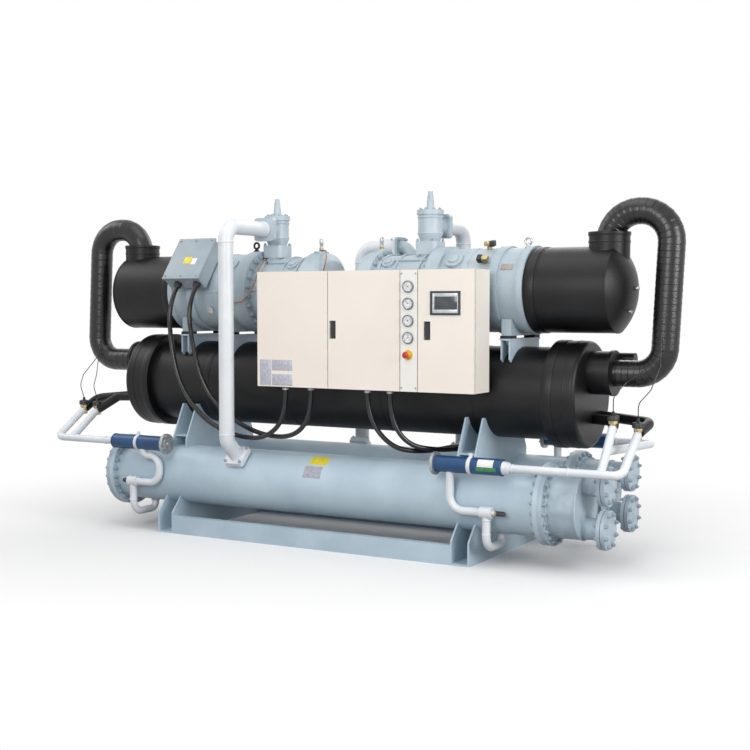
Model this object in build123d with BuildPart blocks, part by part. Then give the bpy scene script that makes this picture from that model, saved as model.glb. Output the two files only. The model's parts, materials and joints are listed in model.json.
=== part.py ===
from build123d import *
import math
import os

os.makedirs("parts", exist_ok=True)

# Water-cooled chiller with two screw compressors. Millimetres.
# X runs along the vessels, Y to the back, Z up from the floor.

# Driving dimensions of the vessels
CONDENSER_R = 217.5
CONDENSER_Y = 345.0
CONDENSER_Z = 416.0
CONDENSER_LEFT = -1740.0
CONDENSER_RIGHT = 1745.0
EVAPORATOR_R = 310.0
EVAPORATOR_HEAD_R = 355.0
EVAPORATOR_Z = 1100.0
EVAPORATOR_HALF = 1845.0
EVAPORATOR_HEAD_L = 225.0
SADDLE_X = (-1210.0, 1170.0)

# Supports under the vessels
PLATE = 12.0
SUPPORT_X = 1210.0
SUPPORT_GAP = 125.0
SUPPORT_Y = 600.0
SUPPORT_TOE = 154.0
RAIL_H = 130.0
RAIL_FLANGE = 55.0
RAIL_WALL = 8.0
ANCHOR_Y = 500.0
ANCHOR_R = 11.0

# Compressors, mirrored about one plane across the machine
MIDDLE_X = 40.0
COMPRESSOR_Z = 1788.0
CASING_R = 250.0
MOTOR_R = 285.0
CAP_R = 283.0
CAP_START = 1460.0
CAP_END = 2020.0
CAP_DOME = 110.0
VALVE_U = 645.0
SUCTION_U = 1950.0
SUCTION_PIPE_R = 86.0
SUCTION_BEND = 200.0
SUCTION_SPAN = 420.0
SUCTION_LEAN = 52.0
SUCTION_NOZZLE_Z = 1246.0
COLLAR_R = 133.0
COLLAR_TOP = 2162.0
SUCTION_TOP = 2292.0
FOOT_U = (930.0, 1330.0)

# Discharge stop valves and pipes
VALVE_BASE_Z = 2040.0
DISCHARGE_R = 54.0
DISCHARGE_Y = {"left": 650.0, "right": 533.0}
DISCHARGE_PORT_Z = 2245.0
PORT_END = 180.0

# Control cabinet and its doors
CABINET_X = (-371.0, 1307.0)
CABINET_Z = (1120.0, 1920.0)
CABINET_FRONT = -600.0
CABINET_DEPTH = 235.0
SHEET = 2.0
DOOR_T = 20.0
DOOR_GAP = 5.0
DOOR_SPLIT = 211.0
BRACKET_X = (-250.0, 1050.0)
STRIP_X = (773.0, 898.0)

# Conduits to the terminal boxes, and the glands that hold their ends
CONDUIT_R = 17.0
GLAND_R = 24.0
GLAND_L = 30.0
CABINET_GLAND_L = 25.0


def save(piece, name):
    piece.part.label = name
    export_step(piece.part, f"parts/{name}.step")
    print(name, round(piece.part.volume / 1000.0), "cm3")


def at(side, u):
    """X of a point u away from the plane between the compressors, to the left or right"""
    return MIDDLE_X + side * u


def tube(points, bends, radius):
    """Pipe along straight runs joined by bends, added to the piece being made"""
    with BuildLine() as route:
        FilletPolyline(*points, radius=bends)
    path = route.wires()[0]
    with BuildSketch(Plane(origin=path @ 0, z_dir=path % 0)) as section:
        Circle(radius)
    sweep(sections=section.sketch, path=path)


def plate_on(origin, direction, size, thickness, edge=(1, 0, 0)):
    """Square flange plate with a side along edge, grown from origin along direction"""
    with BuildSketch(Plane(origin=origin, x_dir=edge, z_dir=direction)) as face:
        RectangleRounded(size, size, size / 7)
    extrude(to_extrude=face.sketch, amount=thickness)


# Supports: two plates with saddles for both condensers, tied by a foot plate
def support(name, centre_x):
    with BuildPart() as piece:
        for side in (-1, 1):
            face = centre_x + side * SUPPORT_GAP / 2 - PLATE / 2
            with BuildSketch(Plane.YZ.offset(face)):
                with BuildLine():
                    Polyline(
                        (-SUPPORT_Y, 0),
                        (-SUPPORT_Y, SUPPORT_TOE),
                        (-500, 265),
                        (-345, 330),
                        (345, 330),
                        (500, 265),
                        (SUPPORT_Y, SUPPORT_TOE),
                        (SUPPORT_Y, 0),
                        close=True,
                    )
                make_face()
                with Locations((-CONDENSER_Y, CONDENSER_Z), (CONDENSER_Y, CONDENSER_Z)):
                    Circle(CONDENSER_R, mode=Mode.SUBTRACT)
            extrude(amount=PLATE)
        inner = SUPPORT_GAP - PLATE
        with BuildSketch(Plane.XY):
            with Locations((centre_x, 0)):
                Rectangle(inner, 2 * SUPPORT_Y)
            with Locations((centre_x, -ANCHOR_Y), (centre_x, ANCHOR_Y)):
                Circle(ANCHOR_R, mode=Mode.SUBTRACT)
        extrude(amount=PLATE)
    return piece


for name, centre_x in (("support_left", -SUPPORT_X), ("support_right", SUPPORT_X)):
    save(support(name, centre_x), name)

# Rails: channels between the supports, open to the inside
rail_half = SUPPORT_X - SUPPORT_GAP / 2 - PLATE / 2
rail_y = SUPPORT_Y - RAIL_FLANGE / 2
with BuildPart() as rails:
    with BuildSketch(Plane.YZ.offset(-rail_half)):
        with Locations((-rail_y, RAIL_H / 2), (rail_y, RAIL_H / 2)):
            Rectangle(RAIL_FLANGE, RAIL_H)
        with Locations((-rail_y + RAIL_WALL, RAIL_H / 2), (rail_y - RAIL_WALL, RAIL_H / 2)):
            Rectangle(RAIL_FLANGE, RAIL_H - 2 * RAIL_WALL, mode=Mode.SUBTRACT)
    extrude(amount=2 * rail_half)
save(rails, "base_rails")


# Condensers
TUBE_SHEET_T = 32.0
FLANGE_STEP = 50.0
COVER_T = 45.0
WATER_BOX_L = 230.0
NOZZLE_R = 70.0
NOZZLE_FLANGE_R = 127.0
NOZZLE_FLANGE_T = 24.0
NOZZLE_PITCH = 278.0
NOZZLE_Z = (CONDENSER_Z - NOZZLE_PITCH / 2, CONDENSER_Z + NOZZLE_PITCH / 2)
NOZZLE_REACH = 2105.0
GASKET_T = 4.0

REAR_LEFT_STEP = 40.0
REAR_RIGHT_STEP = 75.0


def condenser_ends(side):
    """X of the left and right ends of one shell: the rear one is shorter at both ends"""
    if side > 0:
        return CONDENSER_LEFT + REAR_LEFT_STEP, CONDENSER_RIGHT - REAR_RIGHT_STEP
    return CONDENSER_LEFT, CONDENSER_RIGHT


def disc(x, y, z, radius, thickness):
    """Round plate with its face at x, square to the vessels, grown towards +X"""
    with BuildSketch(Plane.YZ.offset(x)) as face:
        with Locations((y, z)):
            Circle(radius)
    extrude(to_extrude=face.sketch, amount=thickness)


for name, side in (("front", -1), ("rear", 1)):
    left, right = condenser_ends(side)
    y = side * CONDENSER_Y
    with BuildPart() as shell:
        disc(left, y, CONDENSER_Z, CONDENSER_R, right - left)
        disc(left, y, CONDENSER_Z, CONDENSER_R + FLANGE_STEP, TUBE_SHEET_T)
        disc(right - TUBE_SHEET_T, y, CONDENSER_Z, CONDENSER_R + FLANGE_STEP, TUBE_SHEET_T)
    save(shell, f"condenser_{name}_shell")

    # Water box: barrel with two flanged nozzles, one above the other
    reach = NOZZLE_REACH + right - CONDENSER_RIGHT
    with BuildPart() as box:
        disc(right, y, CONDENSER_Z, CONDENSER_R + FLANGE_STEP, TUBE_SHEET_T)
        disc(right, y, CONDENSER_Z, CONDENSER_R - 4, WATER_BOX_L)
        for z in NOZZLE_Z:
            disc(right + WATER_BOX_L, y, z, NOZZLE_R, reach - right - WATER_BOX_L)
            disc(reach - NOZZLE_FLANGE_T, y, z, NOZZLE_FLANGE_R, NOZZLE_FLANGE_T)
    save(box, f"condenser_{name}_water_box")

with BuildPart() as covers:
    for side in (-1, 1):
        left, right = condenser_ends(side)
        y = side * CONDENSER_Y
        disc(left - TUBE_SHEET_T, y, CONDENSER_Z, CONDENSER_R + FLANGE_STEP, TUBE_SHEET_T)
        disc(left - TUBE_SHEET_T - COVER_T, y, CONDENSER_Z, CONDENSER_R - 25, COVER_T)
save(covers, "condenser_end_covers")

with BuildPart() as blanks:
    for side in (-1, 1):
        left, right = condenser_ends(side)
        reach = NOZZLE_REACH + right - CONDENSER_RIGHT
        for z in NOZZLE_Z:
            disc(reach, side * CONDENSER_Y, z, NOZZLE_FLANGE_R - 12, GASKET_T)
            disc(reach + GASKET_T, side * CONDENSER_Y, z, NOZZLE_FLANGE_R, NOZZLE_FLANGE_T)
save(blanks, "water_blind_flanges")


# Evaporator
HEAD_START = EVAPORATOR_HALF - EVAPORATOR_HEAD_L
HEAD_EDGE = 30.0
SUCTION_STUB_R = 143.0
SUCTION_STUB_L = 155.0
STUB_LIP = 25.0
BLANK_STUB = {"y": 150.0, "z": 1330.0, "radius": 45.0, "length": 240.0}
with BuildPart() as evaporator_shell:
    disc(at(-1, HEAD_START), 0, EVAPORATOR_Z, EVAPORATOR_R, 2 * HEAD_START)
save(evaporator_shell, "evaporator_shell")

for name, side in (("left", -1), ("right", 1)):
    face = at(side, EVAPORATOR_HALF)
    with BuildPart() as head:
        disc(min(face, at(side, HEAD_START)), 0, EVAPORATOR_Z, EVAPORATOR_HEAD_R, EVAPORATOR_HEAD_L)
        fillet(head.edges().filter_by(GeomType.CIRCLE).sort_by(Axis.X)[0 if side < 0 else -1], HEAD_EDGE)
        end = face + side * SUCTION_STUB_L
        lip = end - side * STUB_LIP
        disc(min(face, end), 0, SUCTION_NOZZLE_Z, SUCTION_STUB_R, SUCTION_STUB_L)
        disc(min(lip, end), 0, SUCTION_NOZZLE_Z, SUCTION_STUB_R + 7, STUB_LIP)
        if side > 0:
            stub = BLANK_STUB
            disc(face, stub["y"], stub["z"], stub["radius"], stub["length"])
    save(head, f"evaporator_head_{name}")

# Water nozzles of the evaporator, at the back
EVAPORATOR_NOZZLE_X = (-1400.0, 1480.0)
EVAPORATOR_NOZZLE_R = 84.0
EVAPORATOR_NOZZLE_END = 470.0
with BuildPart() as nozzles:
    for x in EVAPORATOR_NOZZLE_X:
        with BuildSketch(Plane.XZ.offset(-EVAPORATOR_NOZZLE_END)):
            with Locations((x, EVAPORATOR_Z)):
                Circle(EVAPORATOR_NOZZLE_R)
        extrude(amount=EVAPORATOR_NOZZLE_END - 200)
        with BuildSketch(Plane.XZ.offset(-EVAPORATOR_NOZZLE_END)):
            with Locations((x, EVAPORATOR_Z)):
                Circle(142.5)
        extrude(amount=NOZZLE_FLANGE_T)
    with BuildSketch(Plane.YZ.offset(at(-1, HEAD_START))):
        with Locations((0, EVAPORATOR_Z)):
            Circle(EVAPORATOR_R)
    extrude(amount=2 * HEAD_START, mode=Mode.SUBTRACT)
save(nozzles, "evaporator_water_nozzles")

# Saddles: the evaporator stands on the condensers
with BuildPart() as saddles:
    for centre_x in SADDLE_X:
        for side in (-1, 1):
            face = centre_x + side * SUPPORT_GAP / 2 - PLATE / 2
            with BuildSketch(Plane.YZ.offset(face)):
                with BuildLine():
                    Polyline(
                        (-430, 560),
                        (-430, 680),
                        (-300, 940),
                        (300, 940),
                        (430, 680),
                        (430, 560),
                        close=True,
                    )
                make_face()
                with Locations((-CONDENSER_Y, CONDENSER_Z), (CONDENSER_Y, CONDENSER_Z)):
                    Circle(CONDENSER_R, mode=Mode.SUBTRACT)
                with Locations((0, EVAPORATOR_Z)):
                    Circle(EVAPORATOR_R, mode=Mode.SUBTRACT)
            extrude(amount=PLATE)
        with BuildSketch(Plane.XY.offset(700)):
            with Locations((centre_x, 0)):
                Rectangle(SUPPORT_GAP - PLATE, 800)
        extrude(amount=PLATE)
save(saddles, "evaporator_saddles")


# Compressors
FOOT_TOP = 1486.0
FOOT_HALF = 235.0
RING_R = 298.0
GAS_PIPE_X = -180.0
GAS_PIPE_Y = 533.0
GAS_PIPE_TOP = 2125.0
GAS_FLANGE_X = 147.0
GAS_FLANGE = 150.0
PORT_X = 245.0


def turned(side, profile):
    """Solid of revolution about the compressor's axis from (u, radius) points"""
    with BuildSketch(Plane.XZ) as half:
        with BuildLine():
            Polyline(*[(at(side, u), COMPRESSOR_Z + r) for u, r in profile], close=True)
        make_face()
    revolve(profiles=half.sketch, axis=Axis((0, 0, COMPRESSOR_Z), (1, 0, 0)))


def boss(x, y, z, radius, height):
    """Upright round boss from z upwards"""
    with BuildSketch(Plane.XY.offset(z)) as base:
        with Locations((x, y)):
            Circle(radius)
    extrude(to_extrude=base.sketch, amount=height)


for name, side in (("left", -1), ("right", 1)):
    with BuildPart() as casing:
        turned(
            side,
            [
                (105, 0),
                (112, 120),
                (150, 225),
                (190, 278),
                (295, 286),
                (300, CASING_R),
                (732, CASING_R),
                (736, 305),
                (835, 305),
                (840, MOTOR_R),
                (1215, MOTOR_R),
                (1215, RING_R),
                (1275, RING_R),
                (1275, MOTOR_R),
                (1415, MOTOR_R),
                (1420, RING_R),
                (CAP_START, RING_R),
                (CAP_START, 0),
            ],
        )
        boss(at(side, VALVE_U), 0, COMPRESSOR_Z, 80, VALVE_BASE_Z - COMPRESSOR_Z)
        for u in FOOT_U:
            with BuildSketch(Plane.XY.offset(FOOT_TOP)):
                with Locations((at(side, u), 0)):
                    Rectangle(70, 2 * FOOT_HALF)
            extrude(amount=110)
        if name == "right":
            # Port for the gas pipe from the rear condenser
            tube(
                [
                    (GAS_FLANGE_X, GAS_PIPE_Y, GAS_PIPE_TOP),
                    (PORT_X, GAS_PIPE_Y, GAS_PIPE_TOP),
                    (PORT_X, GAS_PIPE_Y, COMPRESSOR_Z),
                    (PORT_X, 200, COMPRESSOR_Z),
                ],
                [80, 90],
                48,
            )
            plate_on((GAS_FLANGE_X, GAS_PIPE_Y, GAS_PIPE_TOP), (1, 0, 0), GAS_FLANGE, 20, (0, 1, 0))
    save(casing, f"compressor_{name}")

    # Suction cap: insulated, domed at its outer end, with the pipe's collar on top
    with BuildPart() as cap:
        start = at(side, CAP_START)
        end = at(side, CAP_END)
        tip = end + side * CAP_DOME
        with BuildSketch(Plane.XZ):
            with BuildLine():
                Polyline(
                    (start, COMPRESSOR_Z),
                    (start, COMPRESSOR_Z + CAP_R),
                    (end, COMPRESSOR_Z + CAP_R),
                )
                TangentArc((tip, COMPRESSOR_Z), (end, COMPRESSOR_Z + CAP_R), tangent=(0, 1))
                Line((tip, COMPRESSOR_Z), (start, COMPRESSOR_Z))
            make_face()
        revolve(axis=Axis((0, 0, COMPRESSOR_Z), (1, 0, 0)))
        boss(at(side, SUCTION_U), 0, COMPRESSOR_Z, COLLAR_R, COLLAR_TOP - COMPRESSOR_Z)
    save(cap, f"compressor_{name}_suction_cap")


# Suction pipes: up from the collar, over, and down to the nozzle on the evaporator's head
for name, side in (("left", -1), ("right", 1)):
    inner_x = at(side, SUCTION_U)
    outer_x = inner_x + side * SUCTION_SPAN
    with BuildPart() as pipe:
        tube(
            [
                (inner_x, 0, COLLAR_TOP - 100),
                (inner_x, 0, SUCTION_TOP),
                (outer_x, 0, SUCTION_TOP),
                (outer_x - SUCTION_LEAN, 0, SUCTION_NOZZLE_Z),
                (at(side, EVAPORATOR_HALF + SUCTION_STUB_L), 0, SUCTION_NOZZLE_Z),
            ],
            [SUCTION_BEND, SUCTION_BEND, 180],
            SUCTION_PIPE_R,
        )
        with BuildSketch(Plane.XY.offset(COLLAR_TOP)):
            with Locations((inner_x, 0)):
                Rectangle(2 * COLLAR_R, 2 * COLLAR_R)
        extrude(amount=-200, mode=Mode.SUBTRACT)
    save(pipe, f"suction_pipe_{name}")

# Feet on the evaporator, with rubber pads under the compressors
with BuildPart() as feet:
    for side in (-1, 1):
        for u in FOOT_U:
            x = at(side, u)
            for edge in (-1, 1):
                with BuildSketch(Plane.YZ.offset(x + edge * 29 - 5)):
                    with BuildLine():
                        Polyline(
                            (-250, 1455),
                            (250, 1455),
                            (250, 1330),
                            (190, 1280),
                            (-190, 1280),
                            (-250, 1330),
                            close=True,
                        )
                    make_face()
                    with Locations((0, EVAPORATOR_Z)):
                        Circle(EVAPORATOR_R, mode=Mode.SUBTRACT)
                extrude(amount=10)
            with BuildSketch(Plane.XY.offset(1455)):
                with Locations((x, 0)):
                    Rectangle(80, 510)
            extrude(amount=12)
save(feet, "compressor_feet")

with BuildPart() as pads:
    for side in (-1, 1):
        for u in FOOT_U:
            with BuildSketch(Plane.XY.offset(1467)):
                with Locations(
                    (at(side, u), -FOOT_HALF + 35),
                    (at(side, u), FOOT_HALF - 35),
                ):
                    Rectangle(80, 90)
            extrude(amount=FOOT_TOP - 1467)
save(pads, "isolation_pads")

def gas_pipe(way, x, y, start, top):
    """Pipe from start to the upright at x, y and down to the square flange on a condenser"""
    corner = y - CONDENSER_Y
    tube(
        start
        + [
            (x, way * y, top),
            (x, way * y, CONDENSER_Z + corner),
            (x, way * (CONDENSER_Y + 120), CONDENSER_Z + 120),
        ],
        [108, 80],
        DISCHARGE_R,
    )
    slope = Vector(0, way, 1).normalized()
    foot = Vector(x, way * CONDENSER_Y, CONDENSER_Z) + slope * (CONDENSER_R + 22)
    plate_on(foot, slope, 160, 36)
    with BuildSketch(Plane.YZ.offset(x - 200)) as shell:
        with Locations((way * CONDENSER_Y, CONDENSER_Z)):
            Circle(CONDENSER_R)
    extrude(to_extrude=shell.sketch, amount=400, mode=Mode.SUBTRACT)


# Discharge stop valves: the left port faces the front, the right one the back
for name, side in (("left", -1), ("right", 1)):
    way = side
    x = at(side, VALVE_U)
    with BuildPart() as valve:
        with BuildSketch(Plane.XZ):
            with BuildLine():
                Polyline(
                    (x, VALVE_BASE_Z),
                    (x + 66, VALVE_BASE_Z),
                    (x + 70, VALVE_BASE_Z + 97),
                    (x + 86, VALVE_BASE_Z + 137),
                    (x + 86, VALVE_BASE_Z + 276),
                    (x + 95, VALVE_BASE_Z + 278),
                    (x + 95, VALVE_BASE_Z + 311),
                    (x + 28, VALVE_BASE_Z + 314),
                    (x + 25, VALVE_BASE_Z + 380),
                    (x + 18, VALVE_BASE_Z + 383),
                    (x + 18, VALVE_BASE_Z + 440),
                    (x, VALVE_BASE_Z + 440),
                    close=True,
                )
            make_face()
        revolve(axis=Axis((x, 0, 0), (0, 0, 1)))
        with BuildSketch(Plane.XY.offset(VALVE_BASE_Z)):
            with Locations((x, 0)):
                RectangleRounded(165, 165, 25)
        extrude(amount=92)
        with BuildSketch(Plane.XZ.offset(-way * 20)):
            with Locations((x, DISCHARGE_PORT_Z)):
                Circle(62)
        extrude(amount=-way * 130)
        plate_on((x, way * (PORT_END - 42), DISCHARGE_PORT_Z), (0, way, 0), 170, 42)
    save(valve, f"discharge_valve_{name}")

    # Discharge pipe: out of the port, down, and slanting into the condenser
    with BuildPart() as pipe:
        gas_pipe(way, x, DISCHARGE_Y[name], [(x, way * PORT_END, DISCHARGE_PORT_Z)], DISCHARGE_PORT_Z)
    save(pipe, f"discharge_pipe_{name}")

# Gas pipe from the rear condenser to the right compressor's port
with BuildPart() as pipe:
    gas_pipe(1, GAS_PIPE_X, GAS_PIPE_Y, [(GAS_FLANGE_X, GAS_PIPE_Y, GAS_PIPE_TOP)], GAS_PIPE_TOP)
    disc(GAS_FLANGE_X - 140, GAS_PIPE_Y, GAS_PIPE_TOP, DISCHARGE_R + 12, 120)
    plate_on((GAS_FLANGE_X, GAS_PIPE_Y, GAS_PIPE_TOP), (-1, 0, 0), GAS_FLANGE, 20, (0, 1, 0))
save(pipe, "rear_gas_pipe")

# Terminal boxes on the motor casings, tilted to the front and to the back
BOX_TILT = {"left": 36.0, "right": 10.0}
BOX_SIZE = (330.0, 370.0, 125.0)
BOX_LID_AT = 425.0
BOX_U = 1215.0
BOX_GLANDS = (52.0, -124.0)
gland_faces = []
for name, side in (("left", -1), ("right", 1)):
    tilt = math.radians(BOX_TILT[name])
    normal = Vector(0, side * math.cos(tilt), math.sin(tilt))
    down = Vector(0, side * math.sin(tilt), -math.cos(tilt))
    reach = BOX_LID_AT - BOX_SIZE[2]
    middle = Vector(at(side, BOX_U), 0, COMPRESSOR_Z) + normal * reach
    bottom = middle + normal * (BOX_SIZE[2] / 2) + down * (BOX_SIZE[1] / 2)
    with BuildPart() as box:
        with BuildSketch(Plane(origin=middle, x_dir=(1, 0, 0), z_dir=normal)):
            RectangleRounded(BOX_SIZE[0], BOX_SIZE[1], 12)
        extrude(amount=BOX_SIZE[2])
        with BuildSketch(Plane(origin=bottom, x_dir=(1, 0, 0), z_dir=down)):
            with Locations(*[(side * u, 0) for u in BOX_GLANDS]):
                Circle(GLAND_R)
        extrude(amount=GLAND_L)
    save(box, f"terminal_box_{name}")
    for u in BOX_GLANDS:
        gland_faces.append((bottom + Vector(side * u, 0, 0) + down * GLAND_L, down))

# Filter driers: shell with a bolted cover at the inboard end, two at the front and one at the back
DRIER_R = 54.0
DRIER_COVER_R = 74.0
DRIER_Y = 600.0
LINE_R = 27.0
VALVE_Z = 366.0
VALVE_R = 38.0
STEM_R = 13.0
DRIERS = {
    "left": {"way": -1, "z": 662.0, "cover": -1195.0, "end": -1690.0, "inlet": -1262.0, "valve": -1515.0},
    "right": {"way": -1, "z": 662.0, "cover": 1035.0, "end": 1515.0, "inlet": 1140.0, "valve": 1400.0},
    "rear": {"way": 1, "z": 732.0, "cover": 1310.0, "end": 1790.0, "inlet": 1410.0, "valve": 1590.0},
}
STEM_END = {"left": -1612.0, "right": 1530.0}
for name, place in DRIERS.items():
    cover, end, inlet, valve = place["cover"], place["end"], place["inlet"], place["valve"]
    side = -1 if end < cover else 1
    y, z = place["way"] * DRIER_Y, place["z"]
    condenser_y = place["way"] * CONDENSER_Y
    with BuildPart() as drier:
        disc(min(cover, end), y, z, DRIER_R, abs(end - cover))
        disc(cover - 9, y, z, DRIER_COVER_R, 18)
        disc(cover - side * 9, y, z, 12, -side * 14)
    save(drier, f"filter_drier_{name}")

    # Liquid line: from the bottom of the condenser, through its stop valve, up to the drier
    riser = [(inlet, y, z)]
    if name == "left":
        riser = [(inlet, y, 568), (-1420, y, 568), (-1420, y, z)]
    with BuildPart() as line:
        tube(
            [
                (valve, condenser_y, 190),
                (valve, condenser_y, 130),
                (valve, y, 130),
                (valve, y, VALVE_Z),
                (inlet, y, VALVE_Z),
            ]
            + riser,
            [50, 90, 45, 95] + ([90, 55] if name == "left" else []),
            LINE_R,
        )
        disc(valve - 40, y, VALVE_Z, VALVE_R, 80)
        if name in STEM_END:
            disc(min(valve, STEM_END[name]), y, VALVE_Z, STEM_R, abs(STEM_END[name] - valve))
        else:
            boss(valve, y, VALVE_Z, STEM_R, 125)
        with BuildSketch(Plane.YZ.offset(valve - 400)):
            with Locations((condenser_y, CONDENSER_Z)):
                Circle(CONDENSER_R)
            with Locations((y, z)):
                Circle(DRIER_R)
        extrude(amount=800, mode=Mode.SUBTRACT)
    save(line, f"liquid_line_{name}")

# Expansion valves: brass bodies with round heads, fed by the risers of the liquid headers
EXPANSION_VALVES = {
    "left": [(-2250, -330, 860), (-2130, -310, 855)],
    "right": [(2275, -250, 886), (2130, -300, 930)],
}
EXPANSION_R = 24.0
HEAD_DISC_R = 36.0
with BuildPart() as expansion:
    for places in EXPANSION_VALVES.values():
        for x, y, z in places:
            boss(x, y, z - 38, EXPANSION_R, 76)
            boss(x, y, z + 38, HEAD_DISC_R, 26)
save(expansion, "expansion_valves")


def clear_of_valves(side_name):
    """Cuts the room of the expansion valves out of the piece being made"""
    for x, y, z in EXPANSION_VALVES[side_name]:
        for base, radius, height in ((z - 38, EXPANSION_R, 76), (z + 38, HEAD_DISC_R, 26)):
            with BuildSketch(Plane.XY.offset(base)) as room:
                with Locations((x, y)):
                    Circle(radius)
            extrude(to_extrude=room.sketch, amount=height, mode=Mode.SUBTRACT)


def ending_short(points):
    """The same route, its last run cut short so that it ends inside a valve's body"""
    last, before = Vector(*points[-1]), Vector(*points[-2])
    return points[:-1] + [tuple(last - (last - before).normalized() * 16)]


# Liquid headers: from the driers outwards, each with two slanting risers
HEADER_Z = 660.0
HEADERS = {"left": (-2280.0, -2140.0), "right": (2290.0, 2145.0)}
for name, side in (("left", -1), ("right", 1)):
    far, near = HEADERS[name]
    first, second = EXPANSION_VALVES[name]
    with BuildPart() as header:
        start = (DRIERS[name]["end"], -DRIER_Y, HEADER_Z)
        tube(ending_short([start, (far, -DRIER_Y, HEADER_Z), first]), [55], LINE_R)
        branch = [(near, -DRIER_Y, HEADER_Z), (near, 60 - DRIER_Y, HEADER_Z + 30), second]
        tube(ending_short(branch), [80], LINE_R)
        if side > 0:
            disc(DRIERS[name]["end"], -DRIER_Y, HEADER_Z, 40, 40)
            # From the rear drier, joined to the second riser
            rear_end, rear_z = DRIERS["rear"]["end"], DRIERS["rear"]["z"]
            tube([(rear_end, DRIER_Y, rear_z), (2110, DRIER_Y, rear_z), (2139, -444, 786)], [80], LINE_R)
            disc(rear_end, DRIER_Y, rear_z, 40, 40)
        clear_of_valves(name)
    save(header, f"liquid_header_{name}")

# Insulated inlets from the expansion valves to the evaporator's heads
INLET_R = 34.0
INLETS = {
    "left": [
        [(-1770, -90, 985), (-2240, -180, 940), (-2250, -330, 860)],
        [(-1770, -225, 970), (-1960, -250, 965), (-2130, -310, 855)],
    ],
    "right": [
        [(1850, 190, 950), (2295, -60, 940), (2275, -250, 886)],
        [(1850, 60, 938), (2060, -80, 940), (2130, -300, 930)],
    ],
}
with BuildPart() as inlets:
    for name, side in (("left", -1), ("right", 1)):
        for route in INLETS[name]:
            tube(ending_short(route), [70], INLET_R)
        clear_of_valves(name)
    with BuildSketch(Plane.YZ.offset(at(-1, EVAPORATOR_HALF))):
        with Locations((0, EVAPORATOR_Z)):
            Circle(EVAPORATOR_HEAD_R)
    extrude(amount=2 * EVAPORATOR_HALF, mode=Mode.SUBTRACT)
save(inlets, "evaporator_inlets")

# Control cabinet: folded sheet, open to the front behind its doors
cabinet_w = CABINET_X[1] - CABINET_X[0]
cabinet_h = CABINET_Z[1] - CABINET_Z[0]
cabinet_mid = ((CABINET_X[0] + CABINET_X[1]) / 2, (CABINET_Z[0] + CABINET_Z[1]) / 2)
CABINET_BACK = CABINET_FRONT + CABINET_DEPTH
DOOR_BACK = CABINET_FRONT + DOOR_T
BODY_FRONT = DOOR_BACK + DOOR_GAP


def front_box(x_span, z_span, y_back, y_front, mode=Mode.ADD):
    """Block between two X and two Z values, from y_back towards the front"""
    with BuildSketch(Plane.XZ.offset(-y_back)) as face:
        with Locations(((x_span[0] + x_span[1]) / 2, (z_span[0] + z_span[1]) / 2)):
            Rectangle(x_span[1] - x_span[0], z_span[1] - z_span[0])
    extrude(to_extrude=face.sketch, amount=y_back - y_front, mode=mode)


def inset(span, by):
    return span[0] + by, span[1] - by


with BuildPart() as cabinet:
    front_box(CABINET_X, CABINET_Z, CABINET_BACK, BODY_FRONT)
    front_box(
        inset(CABINET_X, SHEET), inset(CABINET_Z, SHEET), CABINET_BACK - SHEET, BODY_FRONT, Mode.SUBTRACT
    )
save(cabinet, "cabinet_body")

# Conduits: from the cabinet's glands to those of the terminal boxes
CONDUIT_ENDS = {
    "left_outer": (-180.0, -530.0),
    "left_inner": (-4.0, -475.0),
    "right_outer": (641.0, -500.0),
    "right_inner": (467.0, -500.0),
}
GLAND_Z = CABINET_Z[0] - CABINET_GLAND_L
with BuildPart() as cabinet_glands:
    for x, y in CONDUIT_ENDS.values():
        boss(x, y, GLAND_Z, GLAND_R, CABINET_GLAND_L)
save(cabinet_glands, "cabinet_glands")

ROUTES = {
    "left_outer": [
        (-1222, -505, 1400),
        (-1120, -530, 1090),
        (-900, -530, 845),
        (-600, -530, 738),
        (-343, -530, 742),
        (-180, -530, 905),
    ],
    "left_inner": [
        (-1025, -500, 1400),
        (-960, -480, 1130),
        (-790, -475, 915),
        (-480, -475, 765),
        (-165, -475, 745),
        (-4, -475, 905),
    ],
    "right_outer": [
        (1075, 465, 1140),
        (1025, 440, 880),
        (1010, 290, 725),
        (985, 20, 695),
        (880, -250, 700),
        (740, -440, 745),
        (641, -500, 930),
    ],
    "right_inner": [
        (960, 450, 1110),
        (905, 430, 860),
        (890, 260, 715),
        (860, -50, 695),
        (760, -350, 690),
        (620, -470, 735),
        (467, -500, 930),
    ],
}
FIRST_RUN = {"left": 170.0, "right": 200.0}


def bends_of(points):
    """Radius of each bend: 0.45 of the shorter run over the tangent of half the turn"""
    radii = []
    for before, here, after in zip(points, points[1:], points[2:]):
        one, two = Vector(*here) - Vector(*before), Vector(*after) - Vector(*here)
        turn = math.radians(one.get_angle(two))
        radii.append(0.45 * min(one.length, two.length) / math.tan(turn / 2))
    return radii


for (name, route), (face, down) in zip(ROUTES.items(), gland_faces):
    start = tuple(face)
    leave = tuple(face + down * FIRST_RUN[name.split("_")[0]])
    x, y = CONDUIT_ENDS[name]
    points = [start, leave] + route + [(x, y, GLAND_Z)]
    radii = bends_of(points)
    with BuildPart() as conduit:
        tube(points, radii, CONDUIT_R)
    save(conduit, f"conduit_{name}")
    with BuildLine() as middle:
        FilletPolyline(*points, radius=radii)
    length = middle.wires()[0].length
    section = math.pi * CONDUIT_R**2 * length
    print(name, "points", [tuple(round(v, 1) for v in p) for p in points])
    print(name, "length", round(length), "bends", [round(r) for r in radii], "volume ratio", conduit.part.volume / section)

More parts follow.
